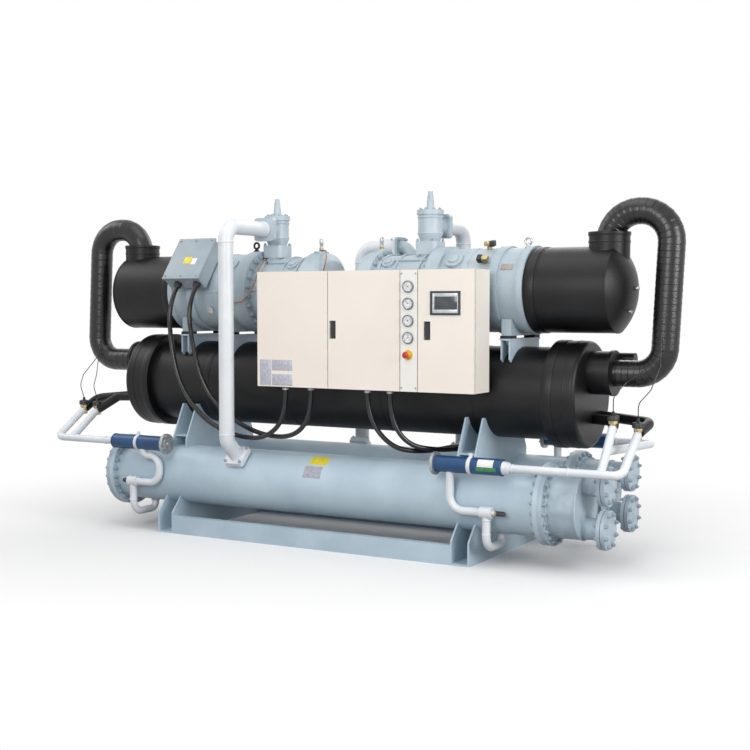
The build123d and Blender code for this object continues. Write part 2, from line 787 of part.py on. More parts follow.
# Mounting plate on four spacers against the back of the cabinet
PLATE_Y = CABINET_BACK - SHEET - 20
with BuildPart() as mounting:
    front_box(inset(CABINET_X, 40), inset(CABINET_Z, 40), PLATE_Y, PLATE_Y - 3)
    for x in inset(CABINET_X, 80):
        for z in inset(CABINET_Z, 80):
            with BuildSketch(Plane.XZ.offset(-(CABINET_BACK - SHEET))):
                with Locations((x, z)):
                    Circle(10)
            extrude(amount=20)
save(mounting, "mounting_plate")

# Brackets: the cabinet hangs on plates welded to the evaporator
with BuildPart() as brackets:
    for x in BRACKET_X:
        with BuildSketch(Plane.YZ.offset(x - 5)):
            with BuildLine():
                Polyline(
                    (CABINET_BACK, 1135),
                    (CABINET_BACK, 1430),
                    (-150, 1430),
                    (-150, 1135),
                    close=True,
                )
            make_face()
            with Locations((0, EVAPORATOR_Z)):
                Circle(EVAPORATOR_R, mode=Mode.SUBTRACT)
        extrude(amount=10)
save(brackets, "cabinet_brackets")

# Doors: folded sheet, each with its returns to the back
DOORS = {
    "left": (CABINET_X[0], DOOR_SPLIT - DOOR_GAP / 2 - 0.5),
    "middle": (DOOR_SPLIT + DOOR_GAP / 2 + 0.5, STRIP_X[0] - DOOR_GAP - 1),
    "right": (STRIP_X[1] + DOOR_GAP + 1, CABINET_X[1]),
}
LOCKS = {"middle": 251.0, "right": 971.0}
LOCK_Z = 1522.0
LOCK_CUP = (40.0, 115.0)
LEVER = (29.0, 103.0, 7.0)
LEVER_PIN_Z = LOCK_Z + 46
DISPLAY_X = (995.0, 1211.0)
DISPLAY_Z = (1624.0, 1779.0)
for name, span in DOORS.items():
    with BuildPart() as door:
        front_box(span, CABINET_Z, DOOR_BACK, CABINET_FRONT)
        front_box(inset(span, SHEET), inset(CABINET_Z, SHEET), DOOR_BACK, CABINET_FRONT + SHEET, Mode.SUBTRACT)
        if name in LOCKS:
            lock_x = (LOCKS[name] - LOCK_CUP[0] / 2, LOCKS[name] + LOCK_CUP[0] / 2)
            lock_z = (LOCK_Z - LOCK_CUP[1] / 2, LOCK_Z + LOCK_CUP[1] / 2)
            front_box(inset(lock_x, -3), inset(lock_z, -3), DOOR_BACK, CABINET_FRONT)
            front_box(lock_x, lock_z, DOOR_BACK - 2, CABINET_FRONT, Mode.SUBTRACT)
            with BuildSketch(Plane.YZ.offset(LOCKS[name] - 23)):
                with Locations((CABINET_FRONT + 5, LEVER_PIN_Z)):
                    Circle(2.3)
            extrude(amount=46, mode=Mode.SUBTRACT)
        if name == "right":
            front_box(
                inset(DISPLAY_X, 8), inset(DISPLAY_Z, 8), DOOR_BACK, CABINET_FRONT, Mode.SUBTRACT
            )
    save(door, f"door_{name}")

for name, x in LOCKS.items():
    with BuildPart() as lever:
        front_box(
            (x - LEVER[0] / 2, x + LEVER[0] / 2),
            (LEVER_PIN_Z + 5 - LEVER[1], LEVER_PIN_Z + 5),
            CABINET_FRONT + 5 + LEVER[2] / 2,
            CABINET_FRONT + 5 - LEVER[2] / 2,
        )
        with BuildSketch(Plane.YZ.offset(x - 22)):
            with Locations((CABINET_FRONT + 5, LEVER_PIN_Z)):
                Circle(2)
        extrude(amount=44)
    save(lever, f"door_{name}_lever")

with BuildPart() as display:
    front_box(DISPLAY_X, DISPLAY_Z, CABINET_FRONT, CABINET_FRONT - 7)
    front_box(inset(DISPLAY_X, 8), inset(DISPLAY_Z, 8), CABINET_FRONT + 34, CABINET_FRONT)
save(display, "display")

# Gauge panel: fixed strip between the doors, folded back on both sides
GAUGE_X = 833.0
GAUGE_Z = (1810.0, 1698.0, 1586.0, 1474.0)
STOP_Z = 1362.0
with BuildPart() as strip:
    front_box(STRIP_X, CABINET_Z, BODY_FRONT, CABINET_FRONT)
    front_box(
        inset(STRIP_X, SHEET), inset(CABINET_Z, SHEET), BODY_FRONT, CABINET_FRONT + SHEET, Mode.SUBTRACT
    )
    with BuildSketch(Plane.XZ.offset(-BODY_FRONT)):
        with Locations(*[(GAUGE_X, z) for z in GAUGE_Z]):
            Circle(30)
        with Locations((GAUGE_X, STOP_Z)):
            Circle(11)
    extrude(amount=40, mode=Mode.SUBTRACT)
save(strip, "gauge_panel")

with BuildPart() as gauges:
    for z in GAUGE_Z:
        with BuildSketch(Plane.XZ.offset(-CABINET_FRONT)):
            with Locations((GAUGE_X, z)):
                Circle(38)
        extrude(amount=12)
        with BuildSketch(Plane.XZ.offset(-CABINET_FRONT)):
            with Locations((GAUGE_X, z)):
                Circle(30)
        extrude(amount=-40)
save(gauges, "pressure_gauges")

with BuildPart() as stop_base:
    with BuildSketch(Plane.XZ.offset(-CABINET_FRONT)):
        with Locations((GAUGE_X, STOP_Z)):
            Circle(32)
    extrude(amount=3)
    with BuildSketch(Plane.XZ.offset(-CABINET_FRONT)):
        with Locations((GAUGE_X, STOP_Z)):
            Circle(15)
    extrude(amount=25)
    with BuildSketch(Plane.XZ.offset(-CABINET_FRONT)):
        with Locations((GAUGE_X, STOP_Z)):
            Circle(11)
    extrude(amount=-40)
    with BuildSketch(Plane.XZ.offset(-CABINET_FRONT + 26)):
        with Locations((GAUGE_X, STOP_Z)):
            Circle(6.3)
    extrude(amount=-66, mode=Mode.SUBTRACT)
save(stop_base, "emergency_stop_base")

with BuildPart() as stop_button:
    with BuildSketch(Plane.XZ.offset(-CABINET_FRONT + 40)):
        with Locations((GAUGE_X, STOP_Z)):
            Circle(6)
    extrude(amount=-70)
    with BuildSketch(Plane.XZ.offset(-CABINET_FRONT + 34)):
        with Locations((GAUGE_X, STOP_Z)):
            Circle(20)
    extrude(amount=14)
save(stop_button, "emergency_stop_button")
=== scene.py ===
import json
from math import copysign, cos, pi, radians, sin

import bmesh
import bpy
from mathutils import Matrix, Vector

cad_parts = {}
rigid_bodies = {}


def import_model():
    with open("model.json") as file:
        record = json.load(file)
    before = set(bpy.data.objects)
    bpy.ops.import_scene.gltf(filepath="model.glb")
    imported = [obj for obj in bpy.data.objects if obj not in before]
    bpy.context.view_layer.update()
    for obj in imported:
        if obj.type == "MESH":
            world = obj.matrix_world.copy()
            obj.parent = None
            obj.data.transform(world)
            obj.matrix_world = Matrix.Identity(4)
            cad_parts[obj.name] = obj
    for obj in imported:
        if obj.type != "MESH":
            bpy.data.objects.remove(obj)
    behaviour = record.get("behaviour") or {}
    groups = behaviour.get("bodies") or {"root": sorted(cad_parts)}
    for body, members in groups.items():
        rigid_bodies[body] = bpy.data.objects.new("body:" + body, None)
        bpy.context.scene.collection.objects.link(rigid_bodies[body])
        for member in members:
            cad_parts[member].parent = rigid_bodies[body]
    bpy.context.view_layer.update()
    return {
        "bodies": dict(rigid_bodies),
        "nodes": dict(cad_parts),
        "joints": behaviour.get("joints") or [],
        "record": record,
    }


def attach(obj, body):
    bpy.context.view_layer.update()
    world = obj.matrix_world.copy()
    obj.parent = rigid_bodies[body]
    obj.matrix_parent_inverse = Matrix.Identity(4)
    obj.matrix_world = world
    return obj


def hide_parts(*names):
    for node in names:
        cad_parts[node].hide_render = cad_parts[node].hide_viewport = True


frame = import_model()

scene = bpy.context.scene
cad = frame["nodes"]


# Camera
# Stands at the front right corner, a little below the tops of the compressors.
def put(name, data):
    """Links a new object with the given data to the scene."""
    made = bpy.data.objects.new(name, data)
    scene.collection.objects.link(made)
    return made


camera = put("camera", bpy.data.cameras.new("camera"))
camera.data.lens = 59.8
camera.data.sensor_width = 36.0
camera.location = (4.695, -7.797, 1.694)
camera.rotation_euler = (radians(86.75), 0.0, radians(29.75))
scene.camera = camera


# Conduits
# Black PVC hose with a woven steel core, pushed over glands at both ends and hanging in its own curve.
# It is extruded, so it is dark, even and rather glossy.
def linear(hex_colour):
    """sRGB hex to the linear colour that a shader's socket takes."""
    parts = [int(hex_colour[i : i + 2], 16) / 255 for i in (1, 3, 5)]
    return [p / 12.92 if p <= 0.04045 else ((p + 0.055) / 1.055) ** 2.4 for p in parts] + [1.0]


def add(tree, kind, settings=None, *by_place, **by_name):
    """Adds a node. Settings go on the node; for an input, by place or name, a socket to join or a value."""
    node = tree.nodes.new(kind)
    for key, value in (settings or {}).items():
        setattr(node, key, value)
    inputs = list(zip(node.inputs, by_place))
    for key, value in by_name.items():
        name = key.replace("_", " ")
        inputs.append((next(s for s in node.inputs if s.name == name and s.enabled), value))
    for socket, value in inputs:
        if isinstance(value, bpy.types.NodeSocket):
            tree.links.new(value, socket)
        else:
            socket.default_value = value
    return node


def finish_of(name, colour, rough, metal=0.0, coat=0.0, ior=1.5):
    """A material with its base values set; returns it, its tree, its shader and its coordinates."""
    made = bpy.data.materials.new(name)
    made.use_nodes = True
    tree = made.node_tree
    shader = tree.nodes["Principled BSDF"]
    made.diffuse_color = shader.inputs["Base Color"].default_value = linear(colour)
    for socket, value in (("Roughness", rough), ("Metallic", metal), ("Coat Weight", coat), ("IOR", ior)):
        shader.inputs[socket].default_value = value
    return made, tree, shader, tree.nodes.new("ShaderNodeTexCoord").outputs["Object"]


def blend(tree, shader, share, first, second):
    """Gives the shader a base colour between two, by share."""
    mix = add(tree, "ShaderNodeMix", {"data_type": "RGBA"}, Factor=share, A=first, B=second).outputs[2]
    tree.links.new(mix, shader.inputs["Base Color"])
    return mix


def spots(tree, where, size, low, high, detail):
    """Soft spots of the given size, from 0 to 1."""
    noise = add(tree, "ShaderNodeTexNoise", Vector=where, Scale=1 / size, Detail=detail).outputs["Fac"]
    return add(tree, "ShaderNodeMapRange", Value=noise, From_Min=low, From_Max=high).outputs["Result"]


def mottle(tree, shader, where, colours, patch):
    """Lets the base colour wander between two colours over patches of the given size."""
    return blend(tree, shader, spots(tree, where, patch, 0.35, 0.65, 4.0), *map(linear, colours))


def grain(tree, shader, where, grit, depth, texture="ShaderNodeTexNoise"):
    """Raises the surface by a pattern of the given spacing and depth, in metres."""
    pattern = add(tree, texture, Vector=where, Scale=1 / grit)
    bump = add(tree, "ShaderNodeBump", Height=pattern.outputs["Fac"], Distance=depth, Strength=1.0)
    tree.links.new(bump.outputs["Normal"], shader.inputs["Normal"])


def finish(name, rough, colours, patch, grit, depth, texture="ShaderNodeTexNoise", **base):
    """A plain finish: two near colours in patches, and a fine relief."""
    made, tree, shader, where = finish_of(name, colours[0], rough, **base)
    mottle(tree, shader, where, colours, patch)
    grain(tree, shader, where, grit, depth, texture)
    return made


conduit_pvc = finish("extruded_pvc_hose", 0.2, ("#111112", "#1D1D1F"), 0.08, 0.004, 0.0004)

CONDUIT_R = 0.017
# for each conduit its length and the route of its middle line
CONDUITS = {
    "left_outer": (2.072, [
        (-1.227, -0.4196, 1.8271), (-1.227, -0.5196, 1.6896), (-1.222, -0.505, 1.4), (-1.12, -0.53, 1.09),
        (-0.9, -0.53, 0.845), (-0.6, -0.53, 0.738), (-0.343, -0.53, 0.742), (-0.18, -0.53, 0.905),
        (-0.18, -0.53, 1.095),
    ]),
    "left_inner": (2.051, [
        (-1.051, -0.4196, 1.8271), (-1.051, -0.5196, 1.6896), (-1.025, -0.5, 1.4), (-0.96, -0.48, 1.13),
        (-0.79, -0.475, 0.915), (-0.48, -0.475, 0.765), (-0.165, -0.475, 0.745), (-0.004, -0.475, 0.905),
        (-0.004, -0.475, 1.095),
    ]),
    "right_outer": (2.204, [
        (1.307, 0.3943, 1.6392), (1.307, 0.4291, 1.4423), (1.075, 0.465, 1.14), (1.025, 0.44, 0.88),
        (1.01, 0.29, 0.725), (0.985, 0.02, 0.695), (0.88, -0.25, 0.7), (0.74, -0.44, 0.745),
        (0.641, -0.5, 0.93), (0.641, -0.5, 1.095),
    ]),
    "right_inner": (2.244, [
        (1.131, 0.3943, 1.6392), (1.131, 0.4291, 1.4423), (0.96, 0.45, 1.11), (0.905, 0.43, 0.86),
        (0.89, 0.26, 0.715), (0.86, -0.05, 0.695), (0.76, -0.35, 0.69), (0.62, -0.47, 0.735),
        (0.467, -0.5, 0.93), (0.467, -0.5, 1.095),
    ]),
}
for name, (length, route) in CONDUITS.items():
    curve = bpy.data.curves.new(f"hose_{name}", "CURVE")
    curve.dimensions = "3D"
    spline = curve.splines.new("NURBS")
    spline.points.add(len(route) - 1)
    for point, place in zip(spline.points, route):
        point.co = (*place, 1.0)
    spline.order_u, spline.use_endpoint_u, spline.resolution_u = 3, True, 16
    curve.bevel_depth, curve.bevel_resolution, curve.use_fill_caps = CONDUIT_R, 6, True
    curve.materials.append(conduit_pvc)
    hose = put(f"hose_{name}", curve)
    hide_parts(f"conduit_{name}")
    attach(hose, "chiller")


# Floor and studio
# A pale matt floor that fades to the white of the background around the machine, under five large soft
# lamps. The stronger ones stand in front and at the right, as a photographer's softboxes do.
def shows_background(tree):
    """One for what the camera, a mirror or a glass sees, and zero for light that falls on the object."""
    ray = tree.nodes.new("ShaderNodeLightPath").outputs
    larger = {"operation": "MAXIMUM"}
    direct = add(tree, "ShaderNodeMath", larger, ray["Is Camera Ray"], ray["Is Glossy Ray"])
    return add(tree, "ShaderNodeMath", larger, direct.outputs[0], ray["Is Transmission Ray"]).outputs[0]


floor_mesh = bpy.data.meshes.new("studio_floor")
floor_mesh.from_pydata([(-60, -60, 0), (60, -60, 0), (60, 60, 0), (-60, 60, 0)], [], [(0, 1, 2, 3)])
floor = put("studio_floor", floor_mesh)
floor_finish, tree, shader, where = finish_of("matt_studio_floor", "#EFEFEF", 0.9)
floor_mesh.materials.append(floor_finish)
FADE_FROM, FADE_TO = 1.8, 4.6
seen = shows_background(tree)
spread = add(tree, "ShaderNodeVectorMath", {"operation": "LENGTH"}, where)
away = add(
    tree, "ShaderNodeMapRange", {"interpolation_type": "SMOOTHSTEP"},
    Value=spread.outputs["Value"], From_Min=FADE_FROM, From_Max=FADE_TO,
)
white = add(tree, "ShaderNodeMath", {"operation": "MULTIPLY"}, away.outputs["Result"], seen)
glow = add(tree, "ShaderNodeEmission", Color=(1, 1, 1, 1), Strength=1.0)
blend(tree, shader, seen, linear("#8E8E8E"), linear("#EFEFEF"))
both = add(tree, "ShaderNodeMixShader", None, white.outputs[0], shader.outputs[0], glow.outputs[0])
tree.links.new(both.outputs[0], tree.nodes["Material Output"].inputs["Surface"])

world = bpy.data.worlds.new("studio")
world.use_nodes = True
scene.world = world
tree = world.node_tree
level = add(tree, "ShaderNodeMapRange", Value=shows_background(tree), To_Min=0.5, To_Max=1.0)
background = tree.nodes["Background"]
background.inputs["Color"].default_value = (1, 1, 1, 1)
tree.links.new(level.outputs["Result"], background.inputs["Strength"])

LAMPS = [
    ("overhead_softbox", (0.2, -1.5, 7.5), 5.0, 115),
    ("front_softbox", (1.5, -8.0, 4.0), 3.5, 275),
    ("left_softbox", (-7.0, -1.5, 6.0), 3.5, 100),
    ("right_softbox", (8.0, -1.8, 3.3), 3.0, 270),
    ("rear_softbox", (0.5, 6.5, 5.5), 5.0, 150),
]
AIM = Vector((0.2, 0, 1.1))
for name, place, width, power in LAMPS:
    lamp = bpy.data.lights.new(name, "AREA")
    lamp.shape, lamp.size, lamp.energy = "SQUARE", width, power
    stand = put(name, lamp)
    stand.location = place
    stand.rotation_euler = (AIM - Vector(place)).to_track_quat("-Z", "Y").to_euler()
scene.view_settings.view_transform = "Standard"


# Frames, condensers and water boxes
# Plate, channel and rolled shells of mild steel, welded, then sprayed with pale blue-grey enamel. The
# eye gets an even satin coat with faint orange peel, rubbed grey here and there along its edges.
def dress(material, *names):
    """Gives CAD nodes their material."""
    for name in names:
        for place in cad[name].material_slots:
            place.material = material


def enamel(name, colours, rough, grit, depth, patch=0.35, edges="#8E9296"):
    """Sprayed enamel: two near colours, a fine relief, and a third colour rubbed along sharp edges."""
    made, tree, shader, where = finish_of(name, colours[0], rough)
    coat = mottle(tree, shader, where, colours, patch)
    grain(tree, shader, where, grit, depth)
    rounded = add(tree, "ShaderNodeBevel", {"samples": 4}, Radius=0.004).outputs["Normal"]
    flat = tree.nodes.new("ShaderNodeNewGeometry").outputs["Normal"]
    apart = add(tree, "ShaderNodeVectorMath", {"operation": "DOT_PRODUCT"}, rounded, flat)
    edge = add(tree, "ShaderNodeMapRange", Value=apart.outputs["Value"], From_Min=0.995, From_Max=0.93)
    times, broken = {"operation": "MULTIPLY"}, spots(tree, where, 0.03, 0.45, 0.7, 5.0)
    rubbed = add(tree, "ShaderNodeMath", times, edge.outputs["Result"], broken)
    share = add(tree, "ShaderNodeMath", times, rubbed.outputs[0], 0.6).outputs[0]
    blend(tree, shader, share, coat, linear(edges))
    return made


plate_enamel = enamel("sprayed_enamel_on_steel_plate", ("#AFC3D1", "#BED1DD"), 0.4, 0.006, 0.0003)
dress(
    plate_enamel, "support_left", "support_right", "base_rails", "condenser_front_shell",
    "condenser_rear_shell", "evaporator_saddles", "compressor_feet", "cabinet_brackets",
)
flange_enamel = enamel(
    "enamel_on_forged_flange", ("#9FB0BC", "#B5C5D0"), 0.44, 0.006, 0.0006, 0.09, "#7C8286"
)
dress(
    flange_enamel, "condenser_front_water_box", "condenser_rear_water_box", "condenser_end_covers",
    "water_blind_flanges",
)


def finished(name, mesh, body, replaced=(), angle=32):
    """Shades a mesh smooth but for its sharp edges and hands it over as a piece on its body."""
    mesh.shade_smooth()
    mesh.set_sharp_from_angle(angle=radians(angle))
    made = put(name, mesh)
    if replaced:
        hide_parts(*replaced)
    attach(made, body)
    return made


def form(name, shape, material, body="chiller", angle=32):
    """Closes a bmesh into a piece: doubles merged, faces outwards."""
    bmesh.ops.remove_doubles(shape, verts=shape.verts, dist=0.00002)
    bmesh.ops.recalc_face_normals(shape, faces=shape.faces)
    mesh = bpy.data.meshes.new(name)
    shape.to_mesh(mesh)
    shape.free()
    mesh.materials.append(material)
    return finished(name, mesh, body, angle=angle)


def turn(shape, profile, origin, axis, steps=40):
    """Adds a turned form from (along, radius) points; it starts and ends on the axis or on itself."""
    axis = Vector(axis).normalized()
    across = axis.orthogonal().normalized()
    other = axis.cross(across)
    angles = [2 * pi * i / steps for i in range(steps)]
    rings = []
    for along, radius in profile:
        middle = Vector(origin) + axis * along
        if radius < 1e-6:
            rings.append([shape.verts.new(middle)] * steps)
            continue
        places = [middle + (across * cos(a) + other * sin(a)) * radius for a in angles]
        rings.append([shape.verts.new(place) for place in places])
    for one, two in zip(rings, rings[1:]):
        for i in range(steps):
            j = (i + 1) % steps
            face = list(dict.fromkeys((one[i], one[j], two[j], two[i])))
            if len(face) > 2:
                shape.faces.new(face)


def knob(shape, foot, axis, radius, height, steps=6, edge=(0.002, 0.004)):
    """A nut or a round cap whose far edge is taken off, by so much in height and in radius."""
    profile = [(0, 0), (0, radius), (height - edge[0], radius), (height, radius - edge[1]), (height, 0)]
    turn(shape, profile, foot, axis, steps)


def block(shape, middle, size, rounding=0.0, frame=Matrix.Identity(3)):
    """Adds a block with rounded edges, turned by frame."""
    own = bmesh.new()
    bmesh.ops.create_cube(own, size=1.0)
    bmesh.ops.scale(own, vec=size, verts=own.verts)
    if rounding:
        bmesh.ops.bevel(own, geom=own.edges[:], offset=rounding, segments=2, profile=0.5, affect="EDGES")
    bmesh.ops.transform(own, matrix=Matrix.Translation(middle) @ frame.to_4x4(), verts=own.verts)
    held = bpy.data.meshes.new("block")
    own.to_mesh(held)
    own.free()
    shape.from_mesh(held)
    bpy.data.meshes.remove(held)


def tree_with(name, output, **inputs):
    """A new Geometry Nodes tree with named inputs of the given kinds, and those inputs' sockets."""
    tree = bpy.data.node_groups.new(name, "GeometryNodeTree")
    for key, kind in inputs.items():
        tree.interface.new_socket(key.replace("_", " "), in_out="INPUT", socket_type="NodeSocket" + kind)
    tree.interface.new_socket(output, in_out="OUTPUT", socket_type="NodeSocketGeometry")
    return tree, tree.nodes.new("NodeGroupInput").outputs


def hexagon_fasteners():
    """Washer, chamfered nut and stud of unit size, on each point, turned at random about the stud."""
    tree, given = tree_with(
        "hexagon_fasteners", "Fasteners",
        Points="Geometry", Across_flats="Float", Stud="Float", Seed="Int", Finish="Material",
    )
    washer = add(tree, "GeometryNodeMeshCylinder", Vertices=16, Radius=0.62, Depth=0.1)
    nut = add(tree, "GeometryNodeMeshCylinder", Vertices=6, Radius=0.577, Depth=0.5)
    chamfer = add(tree, "GeometryNodeMeshCone", Vertices=6, Radius_Top=0.48, Radius_Bottom=0.577, Depth=0.1)
    stud = add(tree, "GeometryNodeMeshCylinder", Vertices=12, Radius=0.32, Depth=0.36)
    tall = add(tree, "ShaderNodeCombineXYZ", X=1.0, Y=1.0, Z=given["Stud"])
    join = tree.nodes.new("GeometryNodeJoinGeometry")
    same = (1, 1, 1)
    for made, height, size in (
        (washer, 0.05, same), (nut, 0.35, same), (chamfer, 0.6, same), (stud, 0.78, tall.outputs[0]),
    ):
        made = made.outputs["Mesh"]
        moved = add(tree, "GeometryNodeTransform", Geometry=made, Translation=(0, 0, height), Scale=size)
        tree.links.new(moved.outputs[0], join.inputs[0])
    facing = add(tree, "GeometryNodeInputNamedAttribute", {"data_type": "FLOAT_VECTOR"}, Name="facing")
    aligned = add(tree, "FunctionNodeAlignRotationToVector", {"axis": "Z"}, Vector=facing.outputs[0])
    spin = add(tree, "FunctionNodeRandomValue", {"data_type": "FLOAT"}, Max=6.283, Seed=given["Seed"])
    about = add(tree, "ShaderNodeCombineXYZ", Z=spin.outputs[1])
    local = add(tree, "FunctionNodeEulerToRotation", Euler=about.outputs[0])
    turned = add(
        tree, "FunctionNodeRotateRotation", {"rotation_space": "LOCAL"},
        Rotation=aligned.outputs[0], Rotate_By=local.outputs[0],
    )
    placed = add(
        tree, "GeometryNodeInstanceOnPoints", Points=given["Points"], Instance=join.outputs[0],
        Rotation=turned.outputs[0], Scale=given["Across flats"],
    )
    real = add(tree, "GeometryNodeRealizeInstances", Geometry=placed.outputs[0])
    last = add(tree, "GeometryNodeSetMaterial", Geometry=real.outputs[0], Material=given["Finish"])
    add(tree, "NodeGroupOutput", Fasteners=last.outputs[0])
    return tree


def grown(name, seats, tree, values, kind, replaced=(), angle=32):
    """Runs a Geometry Nodes tree on seats and keeps the result as one plain mesh."""
    start = put(name + "_seats", seats)
    modifier = start.modifiers.new(name, "NODES")
    modifier.node_group = tree
    for item in tree.interface.items_tree:
        if item.in_out == "INPUT" and item.name in values:
            modifier[item.identifier] = values[item.name]
    graph = bpy.context.evaluated_depsgraph_get()
    mesh = bpy.data.meshes.new_from_object(start.evaluated_get(graph), depsgraph=graph)
    start.modifiers.remove(modifier)
    bpy.data.objects.remove(start)
    return finished(name, mesh, "chiller", replaced, angle)


def around(origin, axis, radius, count, start=0.5):
    """Seats spaced evenly on a circle about an axis, facing along it."""
    axis = Vector(axis).normalized()
    across = Vector((0, 0, 1) if abs(axis.z) < 0.9 else (1, 0, 0))
    other = axis.cross(across)
    angles = [2 * pi * (i + start) / count for i in range(count)]
    return [(Vector(origin) + (across * cos(a) + other * sin(a)) * radius, axis) for a in angles]


fastener_tree = hexagon_fasteners()
painted_bolts = enamel(
    "enamel_over_hexagon_bolts", ("#93A2AD", "#A6B4BE"), 0.45, 0.003, 0.0004, 0.03, "#7F8386"
)


def fasteners(name, places, flats, stud, seed, material=painted_bolts, kind="painted_steel"):
    """Washers, nuts and studs at each (point, facing) seat, painted with the plate or bare."""
    seats = bpy.data.meshes.new(name)
    seats.from_pydata([tuple(p) for p, n in places], [], [])
    facing = seats.attributes.new("facing", "FLOAT_VECTOR", "POINT")
    facing.data.foreach_set("vector", [c for p, n in places for c in n])
    values = {"Across flats": flats, "Stud": stud, "Seed": seed, "Finish": material}
    return grown(name, seats, fastener_tree, values, kind)


def bead(shape, origin, axis, radius, size=0.006, steps=64):
    """A fillet weld or brazed ring round a tube."""
    profile = [(-size, radius - 0.001), (-size * 0.6, radius + size * 0.5), (0, radius + size * 0.7)]
    profile += [(size * 0.6, radius + size * 0.5), (size, radius - 0.001), (-size, radius - 0.001)]
    turn(shape, profile, origin, axis, steps)


# Bolts of the covers and water flanges, weld beads, and a dished middle on the covers at the left end
ALONG, UP, FORWARD = (1, 0, 0), (0, 0, 1), (0, -1, 0)
CONDENSER_Z, SHELL_R = 0.416, 0.2175
# for each shell its y, its left and right tube sheets, and the face of its water flanges
CONDENSERS = ((-0.345, -1.74, 1.745, 2.105), (0.345, -1.7, 1.67, 2.03))
SHEET_RING, COVER_BOLT, FLANGE_RING, FLANGE_BOLT = 0.2445, 0.026, 0.104, 0.024
dish = [(0.004, 0.0), (0.004, 0.19), (-0.001, 0.184), (-0.006, 0.15), (-0.009, 0.0)]
seats, small_seats, welds, dishes = [], [], bmesh.new(), bmesh.new()
for y, left, right, reach in CONDENSERS:
    for x, way in ((left - 0.032, -1), (left + 0.032, 1), (right + 0.032, 1), (right - 0.032, -1)):
        seats += around((x, y, CONDENSER_Z), (way, 0, 0), SHEET_RING, 24)
    for x, radius, size in (
        (left + 0.036, SHELL_R, 0.009), (right - 0.036, SHELL_R, 0.009), (right + 0.036, 0.2135, 0.009),
        (right + 0.226, 0.212, 0.008),
    ):
        bead(welds, (x, y, CONDENSER_Z), ALONG, radius, size, 96)
    for z in (0.277, 0.555):
        small_seats += around((reach + 0.028, y, z), ALONG, FLANGE_RING, 8)
        small_seats += around((reach - 0.024, y, z), (-1, 0, 0), FLANGE_RING, 8)
        bead(welds, (right + 0.233, y, z), ALONG, 0.07, 0.007)
        bead(welds, (reach - 0.027, y, z), ALONG, 0.07, 0.007)
    turn(dishes, dish, (left - 0.077, y, CONDENSER_Z), ALONG, 64)
fasteners("cover_bolts", seats, COVER_BOLT, 0.8, 1)
fasteners("water_flange_bolts", small_seats, FLANGE_BOLT, 0.9, 2)
weld_enamel = enamel("enamel_over_weld_bead", ("#A6B6C1", "#B5C4CD"), 0.5, 0.007, 0.002, 0.05, "#85898C")
form("shell_welds", welds, weld_enamel, angle=60)
form("end_cover_dishes", dishes, flange_enamel)


# Isolation pads
# Black rubber blocks under the compressors' feet, moulded with ribs, dull and a little dusty.
pad_rubber = finish(
    "moulded_rubber_pad", 0.8, ("#232326", "#35353A"), 0.03, 0.008, 0.002, "ShaderNodeTexWave"
)
dress(pad_rubber, "isolation_pads")


# Evaporator and suction caps
# Closed-cell foam rubber sheet, glued round the vessels in panels. Nearly black with a soft grey bloom,
# fine pores, a satin skin, and cover strips where the panels meet.
foam = finish("closed_cell_foam_rubber_sheet", 0.4, ("#0B0B0D", "#161618"), 0.25, 0.004, 0.0006)
foam.node_tree.nodes["Principled BSDF"].inputs["Specular IOR Level"].default_value = 0.3
dress(
    foam, "compressor_left_suction_cap", "compressor_right_suction_cap", "evaporator_head_left",
    "evaporator_head_right", "evaporator_inlets", "evaporator_shell", "evaporator_water_nozzles",
)


def strip(shape, origin, axis, radius, width, height):
    """A cover strip round a vessel, its edges a little rounded."""
    half, soft = width / 2, min(width / 5, 0.004)
    profile = [(-half, radius - 0.001), (-half, radius + height * 0.7), (-half + soft, radius + height)]
    profile += [(half - soft, radius + height), (half, radius + height * 0.7), (half, radius - 0.001)]
    turn(shape, profile + profile[:1], origin, axis, 96)


MIDDLE_X, AXIS_Z = 0.04, 1.788
EVAPORATOR_Z = 1.1


def beside(side, distance, y=0, z=AXIS_Z):
    """A point so far to the left (-1) or right (1) of the middle between the compressors."""
    return Vector((MIDDLE_X + side * distance, y, z))


strips = bmesh.new()
for x in (-1.05, -0.35, 0.43, 1.13):
    strip(strips, (x, 0, EVAPORATOR_Z), ALONG, 0.31, 0.05, 0.002)
for side in (-1, 1):
    for distance, z, axis, radius, width, height in (
        (1.655, EVAPORATOR_Z, ALONG, 0.355, 0.07, 0.004), (1.768, EVAPORATOR_Z, ALONG, 0.355, 0.012, 0.002),
        (1.498, AXIS_Z, ALONG, 0.283, 0.072, 0.005), (1.543, AXIS_Z, ALONG, 0.283, 0.01, 0.002),
        (2.012, AXIS_Z, ALONG, 0.283, 0.014, 0.002), (1.95, 2.15, UP, 0.133, 0.024, 0.005),
        (1.95, 2.098, UP, 0.133, 0.016, 0.003),
    ):
        strip(strips, beside(side, distance, 0, z), axis, radius, width, height)
form("foam_cover_strips", strips, foam)


